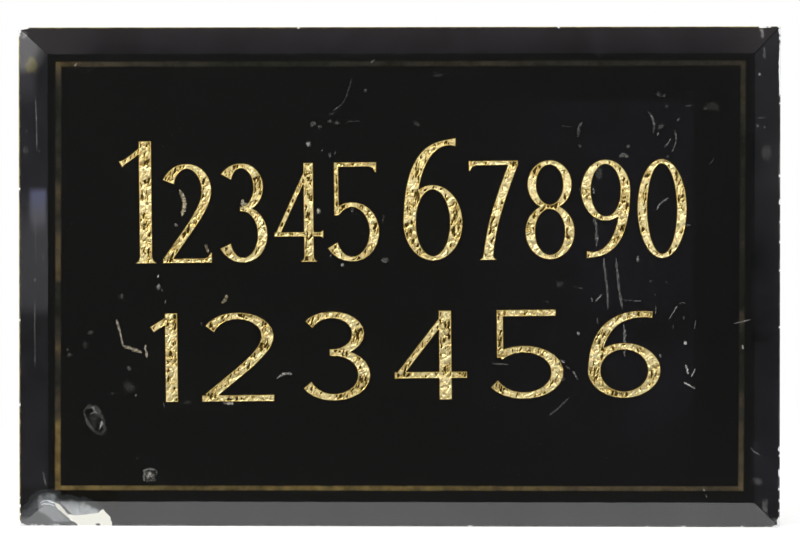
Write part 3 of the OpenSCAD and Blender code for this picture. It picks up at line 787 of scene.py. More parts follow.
def strip(start, end, across, wander, seed):
    """Plan, faces and cover of one strip of a frame that runs anticlockwise from start to end: a
    grid along its length whose two long edges wander by a noise of 9 mm and one of 1.3 mm, mitred at
    45 degrees, and where the leaf thins out."""
    length = math.dist(start, end)
    along = (np.array(end) - start) / length
    inwards = np.array([-along[1], along[0]])
    # places along the strip, as shares of its length, and across it, as shares of its half width
    s = np.linspace(0, 1, int(length) + 1)
    t = np.array([-1, -0.72, -0.45, 0, 0.45, 0.72, 1])

    def half(first):
        """Half the width of the strip at each place along it, as one of its edges wanders."""
        noise = line_noise(s * length, 9, first) + 0.5 * line_noise(s * length, 1.3, first + 1)
        return (across / 2 + wander * (noise - 0.75))[:, None]

    off = t * np.where(t < 0, half(seed), half(seed + 2))
    reach = off + s[:, None] * (length - 2 * off)
    plan = start + reach[..., None] * along + off[..., None] * inwards
    return plan.reshape(-1, 2), grid_faces(*off.shape), np.tile([0.1, 0.7, 1, 1, 1, 0.7, 0.1], len(s))


LINE_WANDER = 0.22  # mm that each edge of the gold line wanders
# How far each corner of the hand-laid line lies off its drawn place, right and up, in mm
LAID_OFF = {(-1, -1): (0.3, 0), (1, -1): (-0.4, 0.3), (1, 1): (0.6, 0.95), (-1, 1): (1.15, 0.75)}

# For each strip: its corners in order, how much wider than drawn the leaf is laid, in mm, and how
# bright the leaf is at places along it, in mm from the middle of the sign, partly rubbed wear and partly
# painted highlight and shade: 1 is gold, 0 dull grey, and below 0 the grey fades away too
LINE_WEAR_AND_PAINTED_LIGHT = {
    "gold_line_bottom": ((-1, -1), (1, -1), 0.5, [
        (-206, 0.95), (-188, 0.93), (-174, 0.7), (-130, 0.6), (-72, 0.85), (-44, 0.85), (20, 0.74),
        (43, 0.57), (88, 0.52), (99, 0.32), (173, 0.3), (187, 0.24), (206, 0.3)]),
    "gold_line_right": ((1, -1), (1, 1), 0.9, [
        (-130, 0.36), (-117, 0.25), (-89, 0.21), (-85, 0.04), (-79, 0.03), (-76, 0.24), (-70, 0.08),
        (-66, -0.04), (-46, -0.12), (-42, 0.08), (-38, -0.04), (-30, 0), (-27, 0.16), (-22, 0.12),
        (-18, -0.08), (-3, -0.16), (10, -0.08), (16, 0.01), (21, 0.1), (26, 0), (46, -0.1), (90, 0),
        (103, 0.06), (107, 0.15), (112, 0.13), (117, 0.06), (130, 0.1)]),
    "gold_line_top": ((1, 1), (-1, 1), 0.8, [
        (-206, 0.5), (-193, 0.34), (-185, 0.12), (-174, 0.19), (-165, 0.08), (-145, 0.04), (-116, 0.04),
        (-106, -0.05), (-80, -0.05), (-50, 0), (5, 0.02), (25, 0.08), (67, 0.06), (96, 0), (115, 0.05),
        (130, 0.01), (190, 0.02), (206, 0.09)]),
    "gold_line_left": ((-1, 1), (-1, -1), 1.2, [
        (-130, 1), (-113, 0.97), (-104, 1), (-89, 1), (-85, 0.34), (-81, 0.08), (-76, 0.2), (-71, 0.15),
        (-65, 0.04), (-56, 0), (-51, 0.06), (-46, 0.16), (-42, 0.38), (-38, 0.09), (-30, 0.03), (-8, 0),
        (-4, 0.05), (-1, 0.36), (5, 0.37), (12, 0.3), (17, 0.3), (21, 0.5), (25, 0.18), (30, 0.05),
        (36, 0.05), (40, 0.12), (46, 0.12), (50, 0.28), (54, 0.24), (58, 0.03), (78, 0.05), (88, 0),
        (98, -0.04), (112, 0.02), (119, 0.07), (123, 0.2), (130, 0.5)]),
}


class BuildGoldLine(bpy.types.Operator):
    """Builds the four mitred strips of the burnished gold line"""
    bl_idname = "sign.build_gold_line"
    bl_label = "Gold line"

    def execute(self, context):
        leaf = burnished_leaf(context.scene.sign_gilding)
        top_low, top_high = node_box("gold_line_top")
        line_width = (top_high - top_low)[2]
        reach = np.array([top_high[0], top_high[2]]) - line_width / 2
        for seed, (name, (first, last, widen, wear_and_painted_light)) in enumerate(LINE_WEAR_AND_PAINTED_LIGHT.items()):
            start, end = (reach * corner + LAID_OFF[corner] for corner in (first, last))
            plan, faces, cover = strip(start, end, line_width + widen, LINE_WANDER, 20 + 5 * seed)
            # the leaf lies in waves 7 mm long and a few thousandths of a mm deep
            waves = 0.006 * plan_noise(plan, 7, 60 + seed)
            front = GLASS_BACK - 2 * CONTACT - waves
            piece = closed_sheet(f"{name}_leaf", plan, faces, front, top_high[1])
            places, shares = zip(*wear_and_painted_light)
            at = plan[:, 0] if first[1] == last[1] else plan[:, 1]
            # how bright the line is painted here: rubbed wear and painted highlight and shade
            whole = np.interp(at, places, shares)
            gild = whole * (0.85 + 0.3 * line_noise(at, 6, 64 + seed))
            attribute(piece, "gild", np.tile(np.clip(gild, 0, 1), 2))
            attribute(piece, "cover", np.tile(cover * np.clip(1 + 4 * whole, 0, 1), 2))
            dress(piece, leaf, "gold_line_leaf", name)
        return {"FINISHED"}


def resampled(points, step):
    """Points at even steps along a smooth curve through the given points. Between two of them it is
    the cubic whose slope at each is half the way between the points on either side of it."""
    p = np.asarray(points, float)
    p = np.vstack([2 * p[0] - p[1], p, 2 * p[-1] - p[-2]])
    t = np.linspace(0, 1, 16, endpoint=False)[:, None, None]
    a, b, c, d = p[:-3], p[1:-2], p[2:-1], p[3:]
    curve = 0.5 * (2 * b + (c - a) * t + (2 * a - 5 * b + 4 * c - d) * t ** 2
                   + (3 * b - a - 3 * c + d) * t ** 3)
    curve = np.vstack([curve.transpose(1, 0, 2).reshape(-1, 2), p[-2]])
    gaps = np.hypot(*np.diff(curve, axis=0).T)
    reach = np.concatenate([[0], np.cumsum(gaps)])
    at = np.linspace(0, reach[-1], max(3, int(reach[-1] / step) + 1))
    return np.column_stack([np.interp(at, reach, curve[:, 0]), np.interp(at, reach, curve[:, 1])])


def scratch(points, width, cover, tone, seed):
    """A ribbon along a curve: seven points across, tapering at both ends, each edge rough in its own
    way, and its cover mottled and falling off at the edges. Returns plan, faces, cover and tone."""
    path = resampled(points, 0.5)
    way = np.gradient(path, axis=0)
    way /= np.maximum(np.hypot(*way.T), 1e-9)[:, None]
    side = np.column_stack([-way[:, 1], way[:, 0]])
    share = np.linspace(0, 1, len(path))
    taper = np.clip(np.minimum(share, 1 - share) * 8, 0.25, 1) ** 0.6
    reach = share * len(path)
    below, above = (0.35 + 1.1 * line_noise(reach, 1.4, seed + turn) for turn in (0, 2))
    across = np.array([-1, -0.7, -0.35, 0, 0.35, 0.7, 1])
    off = across * np.where(across < 0, below[:, None], above[:, None]) * (width / 2 * taper)[:, None]
    plan = path[:, None] + side[:, None] * off[..., None]
    strength = cover * (0.35 + 0.9 * line_noise(reach, 1.7, seed + 1, row=0.5))
    mottle = 0.5 + plan_noise(plan, 0.8, seed + 3)
    covers = np.clip(strength[:, None] * mottle * np.array([0, 0.75, 0.95, 1, 0.95, 0.75, 0]), 0, 1)
    faces = grid_faces(*off.shape, first=1)
    return plan.reshape(-1, 2), faces, covers.ravel(), np.full(covers.size, tone)


# Scratches in the enamel, as points in x and z in mm, then width in mm, cover and tone: 0 is grey,
# 0.25 pale, 0.6 cream and 1 olive
SCRATCHES = [
    ([(-28.2, 119.1), (-29.7, 114.1), (-33, 105.1), (-39.8, 99.5)], 0.7, 0.28, 0),
    ([(-38.9, 98.1), (-41.9, 97.8)], 2, 0.16, 0),
    ([(-31, 93.5), (-23.2, 93.5)], 1.2, 0.14, 0),
    ([(-131.8, 52.5), (-129.6, 48.7), (-128.8, 43.4), (-130.4, 36.6)], 2.9, 0.85, 0.6),
    ([(-116.2, 19.9), (-114.4, 14.5)], 2.3, 0.45, 0.6),
    ([(-94.1, 46.4), (-92.6, 42.8), (-90.9, 38.6)], 3.4, 0.8, 0.55),
    ([(-46.2, 75.6), (-45.3, 77.1)], 0.9, 0.6, 0.04),
    ([(-38.5, 73.7), (-37.7, 75.3)], 0.7, 0.45, 0),
    ([(-8.8, 37), (-9.8, 32.5)], 0.9, 0.25, 0),
    ([(-40.2, 14.4), (-40.9, 12)], 0.8, 0.45, 0.08),
    ([(-136.6, 86.2), (-135.8, 84.4)], 0.6, 0.25, 0),
    ([(-16.6, 128.5), (-14.7, 130.7)], 0.9, 0.7, 0.04),
    ([(-142.5, -6.9), (-142.3, -8.7)], 0.8, 0.4, 0.08),
    ([(-139.9, -13.9), (-140.7, -16.2)], 0.8, 0.4, 0.08),
    ([(-106.3, -16), (-104.5, -13.3), (-103.2, -10.6)], 2.6, 0.5, 0.66),
    ([(-169.9, -25.7), (-169.1, -28.4), (-167.7, -33.2), (-165.9, -41.7)], 1.7, 0.62, 0.5),
    ([(-166, -41.4), (-161, -43.2), (-154.5, -45.7)], 2.2, 0.68, 0.55),
    ([(-152.7, -40.8), (-152.3, -44.1), (-151.5, -48.6)], 2, 0.66, 0.5),
    ([(-199.3, -42.9), (-199.5, -44.7)], 1, 0.3, 0),
    ([(-138.9, -42), (-139.1, -44.4)], 1.3, 0.55, 0.08),
    ([(-133.9, -39.3), (-134.2, -41.1)], 0.9, 0.45, 0.04),
    ([(-119, -27.1), (-118.5, -29.6)], 1.2, 0.35, 0),
    ([(-134.7, -28), (-132.2, -27.9)], 0.9, 0.2, 0),
    ([(-100.8, -22.7), (-101.1, -25.4)], 1.1, 0.45, 0.08),
    ([(-141.8, -75.5), (-141, -78.2)], 0.9, 0.35, 0),
    ([(-108.4, -73.4), (-104.2, -74.9), (-99.6, -76.4)], 3, 0.75, 0.4),
    ([(-93.6, -70.7), (-90.7, -70.7)], 0.9, 0.25, 0),
    ([(-88, -70.4), (-88.4, -73)], 1.5, 0.45, 0.04),
    ([(-73, -61.2), (-70.7, -59.1), (-67.7, -58.1), (-63.8, -58.4)], 1.9, 0.6, 0.3),
    ([(-189.6, -81.4), (-186.8, -77.7), (-181.9, -79.2), (-178.4, -86.4), (-177.2, -91.4),
      (-179.3, -94.4), (-183.9, -92.2), (-187.7, -87.3), (-189.6, -81.6)], 2.6, 0.2, 0),
    ([(-184.3, -78.3), (-181.9, -82.5)], 1.5, 0.75, 0.04),
    ([(-185.9, -82.4), (-182.3, -81.3)], 0.9, 0.4, 0.04),
    ([(-187.4, -79.5), (-184.5, -78.6)], 0.9, 0.35, 0),
    ([(-178.8, -87), (-180.1, -91.9)], 1.4, 0.95, 0.04),
    ([(-178.4, -88.2), (-179.5, -90.6)], 0.8, 0.8, 0.04),
    ([(-153.3, -122.9), (-153.4, -119), (-152.9, -116.3), (-149.6, -115.8), (-146, -116.4)], 1.5, 0.5, 0.04),
    ([(-145.9, -116.4), (-145.9, -119.4)], 1.2, 0.3, 0.04),
    ([(-151.4, -121.1), (-150.3, -119.4), (-148.9, -117.9)], 2.6, 0.5, 0.45),
    ([(-152.2, -123), (-146.4, -122.4)], 2.2, 0.16, 0),
    ([(-151, -117.6), (-149.9, -119)], 0.9, 0.35, 0.1),
    ([(-148.8, -120.7), (-147.3, -118.9)], 1.2, 0.28, 0.1),
    ([(-157.6, -108.4), (-157, -109.8)], 1, 0.35, 0),
    ([(-214.1, -117.7), (-213.3, -121.5), (-212.2, -125.8)], 1.3, 0.3, 0),
    ([(149.3, 99.7), (151.7, 96.1), (153.2, 91.3), (152.4, 86.2)], 1.6, 0.38, 0),
    ([(165.5, 88.3), (166.3, 83.5), (165.5, 78.6), (163.7, 75)], 1.1, 0.42, 0),
    ([(163.1, 83.5), (161.9, 80.5), (158.9, 77.6)], 1.1, 0.38, 0),
    ([(172, 102.5), (175.3, 102.8)], 1.1, 0.3, 0),
    ([(167.1, 93.5), (168.3, 95)], 1.1, 0.5, 0),
    ([(155.1, 84.7), (155.7, 86.6)], 1.4, 0.65, 0.04),
    ([(109.8, 92.8), (108.1, 88.9), (107.7, 83.8)], 2, 0.3, 0),
    ([(108.5, 52.9), (111.5, 47.5), (115.1, 41.4), (117.1, 36.6), (118.7, 29.4), (118.9, 18.6)],
     2.3, 0.36, 0),
    ([(154.7, 40), (157.1, 44.2), (161.6, 47.4)], 1.3, 0.62, 0.06),
    ([(188.9, 71.1), (186.5, 67.6)], 1, 0.3, 0),
    ([(171.9, 31.1), (175.1, 31.2)], 1.2, 0.3, 0),
    ([(143.4, 12.8), (143.7, 9)], 1.3, 0.5, 0.04),
    ([(132.3, 71.7), (135.2, 73.5), (137.9, 71.8)], 2.4, 0.4, 0),
    ([(116.9, 53.5), (117.2, 50.1)], 1.2, 0.4, 0.3),
    ([(97.1, 90.7), (103.7, 90.1)], 1.2, 0.12, 0),
    ([(123, 11.4), (124.2, 0.6), (125.4, -10.3), (125.6, -19.3)], 1.7, 0.38, 0),
    ([(130.5, 11.4), (131.7, -1.9), (132.9, -11.5), (134.3, -19.3)], 1.9, 0.44, 0),
    ([(135.2, -28.1), (135.6, -36.7), (135.7, -47.6)], 2, 0.52, 0),
    ([(115.8, -12.3), (116.4, -14.7)], 1.5, 0.5, 0),
    ([(118, -14.5), (122.1, -10.5)], 1.6, 0.52, 0),
    ([(104.9, -5.5), (111, -7.3)], 1.2, 0.16, 0),
    ([(141, -14.4), (145.5, -14.2)], 0.9, 0.42, 0),
    ([(134.4, -13.6), (140.4, -14.1)], 0.7, 0.25, 0),
    ([(153.8, -9.6), (154.1, -11.1)], 0.9, 0.55, 0),
    ([(154.4, -17.1), (154.2, -22.5)], 0.9, 0.42, 0),
    ([(162.4, -24.9), (167, -17.4)], 0.8, 0.75, 0),
    ([(168, -16.2), (170.4, -15.2), (172, -15.9)], 0.6, 0.5, 0),
    ([(171, -23.5), (171.1, -25.1)], 1.1, 0.5, 0),
    ([(178.1, -25.9), (177.6, -30.7)], 0.8, 0.45, 0),
    ([(164.8, -28.7), (164.9, -30.7)], 0.8, 0.4, 0),
    ([(119.4, -24.7), (119.3, -28)], 1.2, 0.35, 0),
    ([(172.2, -52.6), (173.8, -58)], 1.5, 1, 0.25),
    ([(178.1, -55), (175.7, -59.6)], 1.1, 0.8, 0.22),
    ([(171.2, -63.2), (177.9, -66.9)], 1.2, 0.9, 0.22),
    ([(156.7, -46.1), (157.1, -48.5)], 1.8, 0.6, 0),
    ([(201, -27.8), (205.8, -26.7), (211.2, -25.3)], 0.8, 0.42, 0.3),
    ([(206.2, -40.7), (206.6, -43.3)], 1.4, 0.5, 0.3),
    ([(97.1, -49.8), (99.8, -51.2)], 1.8, 0.45, 0),
    ([(104.7, -56.5), (107.6, -61.4)], 1.5, 0.38, 0),
    ([(90.2, -83.3), (96, -78.7), (102.3, -72.5)], 1.5, 0.28, 0),
    ([(56.2, -52.1), (65.9, -52.4)], 1.1, 0.34, 0),
    ([(85.1, -13.9), (90.5, -15.1)], 1.2, 0.14, 0),
    ([(182.7, -126.4), (183.7, -128.6)], 0.9, 0.75, 0.04),
    ([(184.4, -130.5), (185.1, -132.2)], 0.8, 0.65, 0.04),
    ([(211.5, -102), (213.1, -104.7), (216.7, -106.8)], 0.9, 0.35, 0),
    ([(173.1, -135.4), (173.4, -136.9)], 0.9, 0.5, 0),
    ([(218.6, 137.6), (218.8, 130.2)], 2.4, 0.2, 0),
    ([(124.8, -108), (125.7, -109.2)], 1, 0.35, 0),
    ([(-187.1, 123.3), (-186, 124.5)], 0.9, 0.6, 0),
    ([(-194.8, 126.8), (-193.4, 128.5)], 1.2, 0.8, 0.4),
    ([(-218.2, 107.6), (-218, 99), (-217.6, 88), (-217.5, 76)], 0.9, 0.46, 0),
    ([(-218.3, 38), (-218.3, 22), (-218.2, 8)], 0.8, 0.18, 0),
    ([(-213.2, 13.6), (-214, 10.2)], 1.3, 0.28, 0),
    ([(-218.9, -13.9), (-219, -32), (-218.8, -55)], 0.9, 0.3, 0),
    ([(171.5, 111.1), (175.1, 110.7)], 0.6, 0.12, 0),
    ([(173.3, 110.2), (174.7, 110.4)], 1.1, 0.2, 0),
]

# Blurred spots: x, z, half width and half height in mm, turn in degrees, then cover and tone
SPOTS = [
    (-149.7, -119.4, 4.6, 4.2, 0, 0.26, 0), (-54.2, 79.9, 1.7, 1.9, 0, 0.7, 0.1),
    (-48.1, 39.6, 1.6, 2, 20, 0.65, 0.45), (-33.8, 7.2, 1.4, 1.5, 0, 0.7, 0.08),
    (-27.8, 40.3, 1.6, 1.6, 0, 0.22, 0), (-8.2, 10.2, 3.2, 2, 0, 0.28, 0),
    (-134.1, 31.4, 1.2, 1.4, 0, 0.4, 0.4), (-144.7, 0.4, 0.9, 1.4, 0, 0.55, 0.08),
    (-51.3, 92, 2.4, 2, 0, 0.24, 0), (-41.3, 93.5, 1.6, 1.6, 0, 0.22, 0),
    (-36.8, 92.7, 1.8, 1.6, 0, 0.22, 0), (-47.3, 90.5, 1.4, 1.4, 0, 0.24, 0),
    (-41.3, 73, 1.4, 1.8, 0, 0.24, 0), (-19.7, 112.1, 1.4, 1.3, 0, 0.24, 0),
    (10.9, 91.9, 3.6, 1.6, -30, 0.12, 0), (23, 121, 4, 1.2, 0, 0.1, 0),
    (-144.5, -6, 1.7, 2, 0, 0.58, 0.04), (-185.4, -33.5, 2.2, 2, 0, 0.15, 0),
    (-166.7, -11.9, 1.8, 2.2, 0, 0.12, 0), (-198.1, -47.1, 2, 1.6, 0, 0.16, 0),
    (-162.3, -55.2, 1.6, 1.8, 0, 0.24, 0), (-162.3, -66.3, 4.6, 6, 30, 0.07, 0),
    (-172.4, -70.3, 0.8, 1.2, 0, 0.35, 0), (-158.2, -71.3, 0.8, 1, 0, 0.55, 0.04),
    (-188.9, -41.1, 3, 3.4, 0, 0.07, 0), (-183.3, -85.8, 4.2, 7.6, -24, 0.07, 0),
    (-127.2, -75.5, 4, 1.6, 0, 0.07, 0), (155.9, 109.6, 2.2, 2, 0, 0.14, 0),
    (159.1, 109, 1.3, 1.1, 0, 0.16, 0), (160.7, 102.1, 1.6, 1.5, 0, 0.14, 0),
    (157.1, 90.1, 3, 1.6, 30, 0.18, 0), (137.6, 78.3, 1.5, 1.7, 0, 0.35, 0),
    (109.1, 78.7, 1.8, 1.4, 0, 0.2, 0), (188.3, 102.3, 5.4, 3.4, 0, 0.06, 0),
    (183.8, 100.8, 1.4, 1.2, 0, 0.2, 0), (129.5, 36.6, 0.9, 1.4, 0, 0.35, 0),
    (172, -39.5, 1.2, 1.3, 0, 1, 0.15), (108, -33.7, 1.3, 1.6, 0, 0.6, 0),
    (97.7, -60.8, 2.6, 2.4, 0, 0.42, 0), (101.4, -54.2, 2.2, 1, -30, 0.3, 0),
    (161.3, 72.3, 1.2, 1, 0, 0.2, 0), (160.8, -3.1, 0.8, 0.8, 0, 0.35, 0),
    (151.2, -2.5, 1, 1, 0, 0.25, 0), (215.4, -122.5, 3.4, 3.2, 0, 0.2, 0),
    (219.6, -138, 2.6, 6.4, 4, 0.19, 0), (215.8, 121.4, 1.1, 1.2, 0, 0.75, 0),
    (134.3, -147.2, 0.8, 0.8, 0, 0.4, 0), (-220.8, 127.5, 5.2, 7, 8, 0.76, 1),
    (214.6, 90.6, 1, 1.4, 0, 0.4, 0), (218.8, 90, 0.8, 1.2, 0, 0.35, 0), (217, 95.4, 3.4, 0.6, 0, 0.2, 0),
    (219.9, 74.5, 4.4, 5.2, 0, 0.13, 0), (-218.8, -1.8, 0.9, 1.3, 0, 0.35, 0),
    (-223.6, 88, 1.3, 1.5, 0, 0.16, 0), (-224.6, 76.5, 2.2, 3.4, 0, 0.12, 0),
    (-216, 75.6, 1, 1, 0, 0.3, 0), (-211.8, 49, 1, 0.8, 0, 0.25, 0), (120.3, 61.9, 3, 5, 0, 0.13, 0),
    (97.1, -4.3, 3, 2.4, 0, 0.12, 0), (217.7, 147.5, 2.2, 1.7, 0, 0.7, 0),
    (217.9, 144.9, 1.5, 2.8, 0, 0.42, 0), (-225.2, 145.9, 3.1, 3.8, 0, 0.5, 0),
]


def spot(x, z, half_width, half_height, turn, cover, tone, seed):
    """A square patch of grid whose cover falls off towards an uneven oval. Returns plan, faces,
    cover and tone."""
    t = np.linspace(-1, 1, 15)
    u, v = (part.ravel() for part in np.meshgrid(t, t, indexing="ij"))
    angle = math.radians(turn)
    plan = np.column_stack([x + u * half_width * math.cos(angle) - v * half_height * math.sin(angle),
                            z + u * half_width * math.sin(angle) + v * half_height * math.cos(angle)])
    reach = np.hypot(u, v) + 0.5 * (soft_noise(u * 2.2 + 9, v * 2.2 + 9, seed) - 0.5)
    covers = cover * smooth_step(0.95, 0.3, reach)
    return plan, grid_faces(len(t), len(t)), covers, np.full(len(plan), tone)


SPECKS = 90
SPECK_MARGIN = 26  # mm from the edge of the plate, which keeps specks inside the gold line
SHEET_STEP = 0.0003  # mm between one mark's sheet and the next


def specks():
    """Fine specks of dust and pinholes, scattered by chance over the enamel inside the gold line."""
    chance = np.random.default_rng(7)
    half = (GLASS_HIGH - GLASS_LOW)[[0, 2]] / 2 - SPECK_MARGIN
    sheets = []
    for i in range(SPECKS):
        at = chance.uniform(-half, half)
        reach = chance.uniform(0.15, 0.5) * np.array([math.cos(i), math.sin(i)])
        width, cover = chance.uniform(0.4, 0.9), chance.uniform(0.08, 0.4)
        sheets.append(scratch([at - reach, at, at + reach], width, cover, 0, seed=400 + i))
    return sheets


def stacked(name, sheets):
    """One piece from many sheets just inside the back of the glass, each in front of the last."""
    points, faces, count = [], [], 0
    for i, (plan, sheet_faces, _, _) in enumerate(sheets):
        depth = GLASS_BACK - 2 * CONTACT - SHEET_STEP * i
        points.append(np.column_stack([plan[:, 0], np.full(len(plan), depth), plan[:, 1]]))
        faces.append(sheet_faces + count)
        count += len(plan)
    piece = surface(name, np.concatenate(points), faces)
    attribute(piece, "cover", np.concatenate([sheet[2] for sheet in sheets]))
    attribute(piece, "tone", np.concatenate([sheet[3] for sheet in sheets]))
    return piece


class BuildScratches(bpy.types.Operator):
    """Builds the scratches, scuffs and specks in the enamel"""
    bl_idname = "sign.build_scratches"
    bl_label = "Scratches"

    def execute(self, context):
        sheets = [scratch(*mark, seed=100 + 3 * i) for i, mark in enumerate(SCRATCHES)]
        sheets += [spot(*mark, seed=700 + i) for i, mark in enumerate(SPOTS)]
        piece = stacked("enamel_scratches", sheets + specks())
        dress(piece, scratched_enamel(context.scene.sign_enamel), "black_enamel")
        return {"FINISHED"}


def ring_round(edges):
    """The points in order of the closed outline that reaches furthest left, which lies outside all
    the others, from the lowest of its leftmost points on."""
    after = {tuple(a): tuple(b) for a, b in np.round(edges, 3)}
    ring = [min(after)]
    while after[ring[-1]] != ring[0]:
        ring.append(after[ring[-1]])
    return np.array(ring)


def roughened(ring):
    """The enamel's outline, with its torn edge in the worn corner cut into steps of 1.2 mm or a
    little more and nudged by up to 0.55 mm either way. Its long straight edges stay whole."""
    points = []
    for a, b in zip(ring, np.roll(ring, -1, 0)):
        gap = math.dist(a, b)
        parts = max(1, int(gap / 1.2)) if gap < 40 else 1
        points.append(a + (b - a) * np.linspace(0, 1, parts, endpoint=False)[:, None])
    plan = np.vstack(points)
    corner = GLASS_LOW[[0, 2]]
    torn = (plan > corner + SAME).all(1) & (plan < corner + WORN_REACH).all(1)
    nudge = np.column_stack([soft_noise(plan[:, 0] * 1.7, plan[:, 1] * 1.7, seed) for seed in (31, 32)]) - 0.5
    return plan + 1.1 * nudge * torn[:, None]


class BuildEnamel(bpy.types.Operator):
    """Builds the coat of black enamel with its ragged loss at the lower left corner"""
    bl_idname = "sign.build_enamel"
    bl_label = "Black enamel"

    def execute(self, context):
        enamel = context.scene.sign_enamel
        plan = roughened(ring_round(face_outline("black_enamel", GLASS_BACK)))
        piece = closed_sheet("black_enamel_coat", plan, np.arange(len(plan))[None, :],
                             GLASS_BACK - CONTACT, ENAMEL_BACK)
        dress(piece, enamel_under_glass(enamel), "black_enamel", "black_enamel")
        piece.data.materials.append(brushed_enamel(enamel))
        # the first face lies against the glass, and the back and the edges are in air
        in_air = np.ones(len(piece.data.polygons), np.int32)
        in_air[0] = 0
        piece.data.polygons.foreach_set("material_index", in_air)
        return {"FINISHED"}


# Outlines in the worn corner, as points in x and z in mm: how far the film reaches, where the glass
# is bare and clear, where the film is paler, and the two bright creases
FILM = [
    (-232, -143.5), (-226.1, -141.8), (-223.7, -139.9), (-221.8, -138.1), (-220.6, -136.3), (-219.4, -134.5),
    (-217.6, -132.7), (-215.8, -131.8), (-212.2, -130.9), (-207.6, -130.6), (-205.8, -132.6),
    (-204.3, -134.9), (-197.6, -134.9), (-189.2, -136.2), (-185.3, -138), (-181.9, -140.2), (-180.6, -142),
    (-180, -156), (-232, -156)]
CLEAR = [
    (-207.2, -136), (-205.4, -136.2), (-203.8, -137.2), (-201.6, -140.2), (-198.9, -142.7), (-196.1, -143.5),
    (-186.8, -142.8), (-181.4, -141.9), (-178, -139.6), (-168, -139.8), (-168, -156), (-192, -156),
    (-192.6, -151), (-193.9, -148.9), (-197.8, -146.6), (-200.6, -143.9), (-204.3, -140.7), (-206.9, -137.6)]
PALE = [
    (-217, -136.6), (-217, -141.1), (-212.1, -143.8), (-208.2, -147.7), (-199.4, -147.7), (-198.4, -146.6),
    (-201, -144), (-204.6, -140.8), (-207, -137.4), (-206.4, -130), (-214, -129.6), (-217.6, -132)]
CREASES = [
    [(-215.6, -136.4), (-213.9, -135.2), (-211, -134.9), (-208.2, -135.7), (-206.6, -136)],
    [(-215.1, -137.6), (-213.2, -136.5), (-210.4, -136.5), (-207.7, -137.6)]]

WORN_REACH = np.array([60, 24])  # mm that the worn corner reaches along and up from the plate's own
FILM_INSET, FILM_CELL = 0.1, 0.25  # mm from the plate's edge to the film's grid, and its spacing
SEAM = -192.6  # x of the faint upright seam in the pale film
NICK, NICK_HALF = (-217.9, -140.9), (0.4, 1.4)  # middle and half size of a dark nick in the film
NOTCH, NOTCH_HALF = (-181.6, -149.4), (1.6, 1.3)  # the same of a dark notch beside the bare glass


def line_edges(points, closed=False):
    """A line through points as an array of edges."""
    points = np.array(points, float)
    return np.stack([points, np.roll(points, -1, 0)], 1)[:None if closed else -1]


def oval(plan, middle, half_size):
    """How far each place is from a middle: 1 on the oval of that half size."""
    return np.hypot(*((plan - middle) / half_size).T)


def worn_film(plan):
    """Cover and tone of the old film at each place of the worn corner, both from 0 to 1. Each part
    follows its outline by distance, roughened by noise: the film fades to black at its own outline
    and ends 3 or 4 mm beyond it, in front of the enamel, the clear glass is cut from it, and the
    parts inside the pale outline and to the right are paler."""
    x, z = plan.T

    def noise(size, seed):
        """Noise from -0.5 to 0.5, in patches of a size in mm."""
        return plan_noise(plan, size, seed) - 0.5

    def inside(outline):
        """How far each place lies inside a closed outline, in mm."""
        return distance_inside(plan, line_edges(outline, closed=True))[0]

    film = inside(FILM) + 1.4 * noise(2.6, 40) + 0.7 * noise(0.9, 43)
    clear = inside(CLEAR) + 0.7 * noise(1.1, 41)
    pale = inside(PALE) + 0.5 * noise(1.5, 42)
    # the narrow strip of clear glass that runs up to the left keeps a little of the film
    bare = np.where(x < -199, 0.82, 1.0)
    cover = smooth_step(-4.2, -3, film) * (1 - bare * smooth_step(-0.35, 0.25, clear))
    # how pale the film is: dark grey, paler inside the creases, and paler still beside the bare glass
    tone = 0.07 + 0.03 * noise(4, 44) + 0.13 * smooth_step(-0.8, 1.2, pale)
    right = 0.22 + 0.12 * smooth_step(-135, -142, z) + 0.09 * noise(2.4, 46)
    seam = np.exp(-((x - SEAM - 0.8 * noise(3, 48)) / 0.5) ** 2)
    right = right * (1 - 0.35 * seam * smooth_step(-142.5, -139, z))
    # the part beside the bare glass starts at the seam at its foot, and further left higher up
    right_starts = np.interp(z, (-147, -136), (SEAM - 0.4, -203.5))
    tone = np.where(x > right_starts, right, tone)
    for crease in CREASES:
        away = distance_inside(plan, line_edges(crease))[0]
        tone = np.maximum(tone, 0.9 * np.exp(-(away / 0.27) ** 2) * (0.85 + 0.4 * noise(1.2, 47)))
    tone = np.where(oval(plan, NICK, NICK_HALF) < 1, 0.02, tone)
    # the film darkens towards its outline, and is thin and broken above the creases
    thin = np.where(z > -134.4, 0.7 * (0.6 + 0.6 * plan_noise(plan, 2.2, 45)), 1)
    tone = 0.02 + (tone - 0.02) * np.clip(smooth_step(-1.4, 1.6, film) * thin, 0, 1)
    notch = oval(plan, NOTCH, NOTCH_HALF) + 0.5 * noise(0.8, 49)
    tone = np.where(notch < 1, 0.06, tone)
    return np.maximum(cover, smooth_step(1, 0.6, notch)), np.clip(tone, 0, 1)


class BuildWornCorner(bpy.types.Operator):
    """Builds the film that is left on the glass where the enamel came away"""
    bl_idname = "sign.build_worn_corner"
    bl_label = "Worn corner"

    def execute(self, context):
        corner = GLASS_LOW[[0, 2]]
        x, z = (np.arange(start + FILM_INSET, start + reach, FILM_CELL)
                for start, reach in zip(corner, WORN_REACH))
        plan = np.stack(np.meshgrid(x, z, indexing="ij"), -1).reshape(-1, 2)
        depth = np.full(len(plan), GLASS_BACK - 1.5 * CONTACT)
        piece = surface("worn_size_film", np.column_stack([plan[:, 0], depth, plan[:, 1]]),
                        [grid_faces(len(x), len(z))])
        cover, tone = worn_film(plan)
        attribute(piece, "cover", cover)
        attribute(piece, "tone", tone)
        dress(piece, size_film(context.scene.sign_enamel), "black_enamel")
        return {"FINISHED"}


